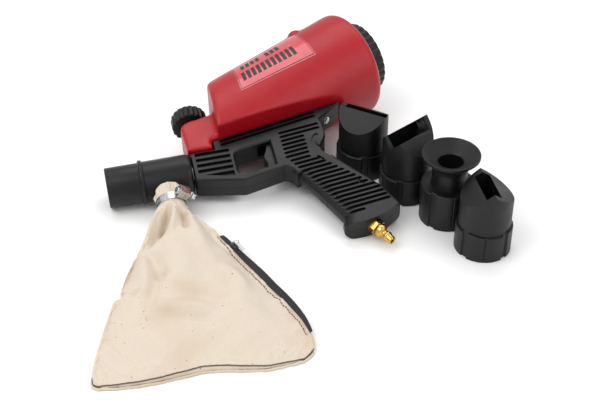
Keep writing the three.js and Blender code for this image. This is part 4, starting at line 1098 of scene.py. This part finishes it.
def tip_sleeve(turn, top):
    """The thick base with four raised pads, grooves between them and a stepped top edge."""
    count = 192
    levels = ((0.0, -0.7), (0.7, 0.0), (top - 4.0, 0.0), (top - 0.8, 0.0), (top, -0.8))
    rings = []
    for h, lift in levels:
        ring = []
        for i in range(count):
            a = 2 * math.pi * i / count
            phase = ((a - turn) / (math.pi / 2)) % 1.0
            groove = 0.0
            if phase < 0.16:
                groove = 1.6 * min(1.0, phase / 0.015, (0.16 - phase) / 0.015)
            if abs(phase - 0.58) < 0.012:
                groove = 0.7
            r = TIP_BASE_R + lift - groove
            drop = 1.8 * (phase - 0.16) * (h >= top - 0.8) * (phase > 0.16)
            ring.append((r * math.cos(a), r * math.sin(a), h - drop))
        rings.append(ring)
    return tube_of(rings)


def tip(name, centre, turn, base, build):
    at = Matrix.Translation(centre) @ Matrix.Rotation(turn, 4, "Z") @ FLOOR
    obj = mesh_object(name + "_fine", *tip_sleeve(0.4, base), at, RUBBER)
    build(obj, at)
    obj.data.materials.clear()
    obj.data.materials.append(RUBBER)
    smooth(obj, 30)
    edge_round(obj, 0.35, 2, 35.0)
    place(obj, name, "black_rubber", name)


def wedge(ridge, slope, slot, length, valley):
    """A column with a roof that a slot cuts along its ridge; valley is how far the end walls dip."""
    fall = math.tan(math.radians(slope))
    half = slot / 2

    def build(obj, at):
        across = at @ Matrix.Rotation(math.pi / 2, 4, "Z") @ Matrix.Rotation(math.pi / 2, 4, "X")
        round_body = [(0, 28), (TIP_BODY_R, 28), (TIP_BODY_R, 90), (0, 90)]
        column = mesh_object("column", *lathe(round_body, 128), at)
        roof = [(-45, -5), (45, -5), (45, ridge - fall * 45), (0, ridge), (-45, ridge - fall * 45)]
        combine(column, mesh_object("roof", *prism(roof, -45, 45), across), "INTERSECT")
        combine(obj, column, "UNION")
        bore = [(0, -5), (SOCKET_R, -5), (SOCKET_R, 34), (17, 37), (17, 46), (0, 50)]
        combine(obj, mesh_object("socket", *lathe(bore, 128), at), "DIFFERENCE")
        gap = cuboid(-length / 2, -half, 42, length / 2, half, 120)
        combine(obj, mesh_object("slot", *gap, at), "DIFFERENCE")
        if valley:
            edge = ridge - fall * half
            cut = [(0, edge - valley), (half, edge - 0.2), (half, 120), (-half, 120), (-half, edge - 0.2)]
            combine(obj, mesh_object("valley", *prism(cut, -40, 40), across), "DIFFERENCE")
    return build


def disc(obj, at):
    top = 76.0
    profile = [(0, 40), (18.6, 40), (17.8, 43), (17.5, 46), (17.6, 56), (18.4, 61), (21.0, 65.5),
               (25.0, 69.5), (28.2, 72.6), (28.9, 73.5), (29.0, 75.0), (28.6, 75.8), (27.9, 75.9),
               (26.0, 74.6), (20.0, 70.9), (15.0, 68.2), (13.3, 67.4), (12.5, 66.4), (0, 66.4)]
    bore = [(0, -5), (12.5, -5), (12.5, top + 5), (0, top + 5)]
    socket = [(0, -5), (SOCKET_R, -5), (SOCKET_R, 34), (12, 38), (0, 38)]
    combine(obj, mesh_object("neck", *lathe(profile, 144), at), "UNION")
    combine(obj, mesh_object("through", *lathe(bore, 96), at), "DIFFERENCE")
    combine(obj, mesh_object("socket", *lathe(socket, 96), at), "DIFFERENCE")


def tip_centre(name):
    low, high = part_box(name)
    return Vector(((low[0] + high[0]) / 2, (low[1] + high[1]) / 2, 0))


TIPS = (
    ("tip_narrow_wedge", -28, TIP_BASE_H, wedge(73.5, 33, 6.4, 40, 0.8)),
    ("tip_open_wedge", 42, TIP_BASE_H, wedge(83, 45, 20, 40, 10)),
    ("tip_disc", 20, DISC_BASE_H, disc),
    ("tip_wide_wedge", -79, TIP_BASE_H, wedge(75, 33, 15, 38, 0)),
)
for name, turn, base, build in TIPS:
    tip(name, tip_centre(name), math.radians(turn), base, build)

# ------------------------------------------------------------------ pieces that keep their CAD shape
place(copy_node("trigger", BLACK, 0.6, 3), "trigger", "black_plastic", "trigger")
place(copy_node("hopper_screw", ZINC, 0.4, 3), "gun", "steel", "hopper_screw")
for number in range(1, 7):
    name = f"body_screw_{number}"
    place(copy_node(name, ZINC, 0.25, 2), "gun", "steel", name)
dress(RUBBER, "mouth_ring", "outlet_gasket", "stem_seal", "cap_gasket")
dress(BRASS, "inlet_bush", "inlet_pipe", "air_pipe", "valve_body", "valve_cap", "air_jet")
dress(ZINC, "mixing_chamber", "nozzle_nut", "valve_stem", "valve_spring", "trigger_pin", "flow_stem")
dress(CERAMIC, "blast_nozzle")

# ------------------------------------------------------------------ floor, light and camera
ELEVATION = 37.0
CAMERA_DISTANCE = 1.230
TARGET = ORIGIN - Vector((-0.19516, 0.0180, 0.0210)) + Vector((0, 0, 0.020))
SENSOR, LENS = 36.0, 73.8


def floor():
    look = Look("floor_paper", (0.94, 0.94, 0.94, 1), 0.85)
    look.tint(look.ramp(look.noise(3, 2.0), 0.3, 0.7, 0.0, 0.3), (0.96, 0.96, 0.96, 1))
    look.bump(look.noise(600, 2.0), 0.00005, 0.1)
    corners = [(-6, -6, 0), (6, -6, 0), (6, 6, 0), (-6, 6, 0)]
    obj = mesh_object("floor", corners, [(0, 1, 2, 3)], None, look.mat)


def area_light(name, at, size, power, aim=(0, 0, 0.03)):
    data = bpy.data.lights.new(name, "AREA")
    data.shape = "RECTANGLE"
    data.size, data.size_y = size
    data.energy = power
    obj = bpy.data.objects.new(name, data)
    obj.location = at
    obj.rotation_euler = (Vector(aim) - Vector(at)).to_track_quat("-Z", "Y").to_euler()
    bpy.context.scene.collection.objects.link(obj)


def studio():
    world = bpy.data.worlds.new("studio")
    bpy.context.scene.world = world
    world.use_nodes = True
    background = world.node_tree.nodes["Background"]
    background.inputs["Color"].default_value = (1, 1, 1, 1)
    background.inputs["Strength"].default_value = 0.74
    area_light("key", (-0.9, -0.5, 1.5), (1.2, 1.2), 13)
    area_light("fill", (1.2, -0.7, 1.1), (1.2, 1.2), 5)
    area_light("top", (0.1, 0.9, 1.6), (1.6, 1.0), 9)


def camera():
    data = bpy.data.cameras.new("camera")
    data.sensor_width = SENSOR
    data.lens = LENS
    data.clip_start, data.clip_end = 0.05, 50
    obj = bpy.data.objects.new("camera", data)
    tilt = math.radians(ELEVATION)
    obj.location = TARGET + Vector((0, -math.cos(tilt), math.sin(tilt))) * CAMERA_DISTANCE
    obj.rotation_euler = (math.radians(90 - ELEVATION), 0, 0)
    bpy.context.scene.collection.objects.link(obj)
    bpy.context.scene.camera = obj


floor()
studio()
camera()
scene = bpy.context.scene
scene.view_settings.view_transform = "Standard"
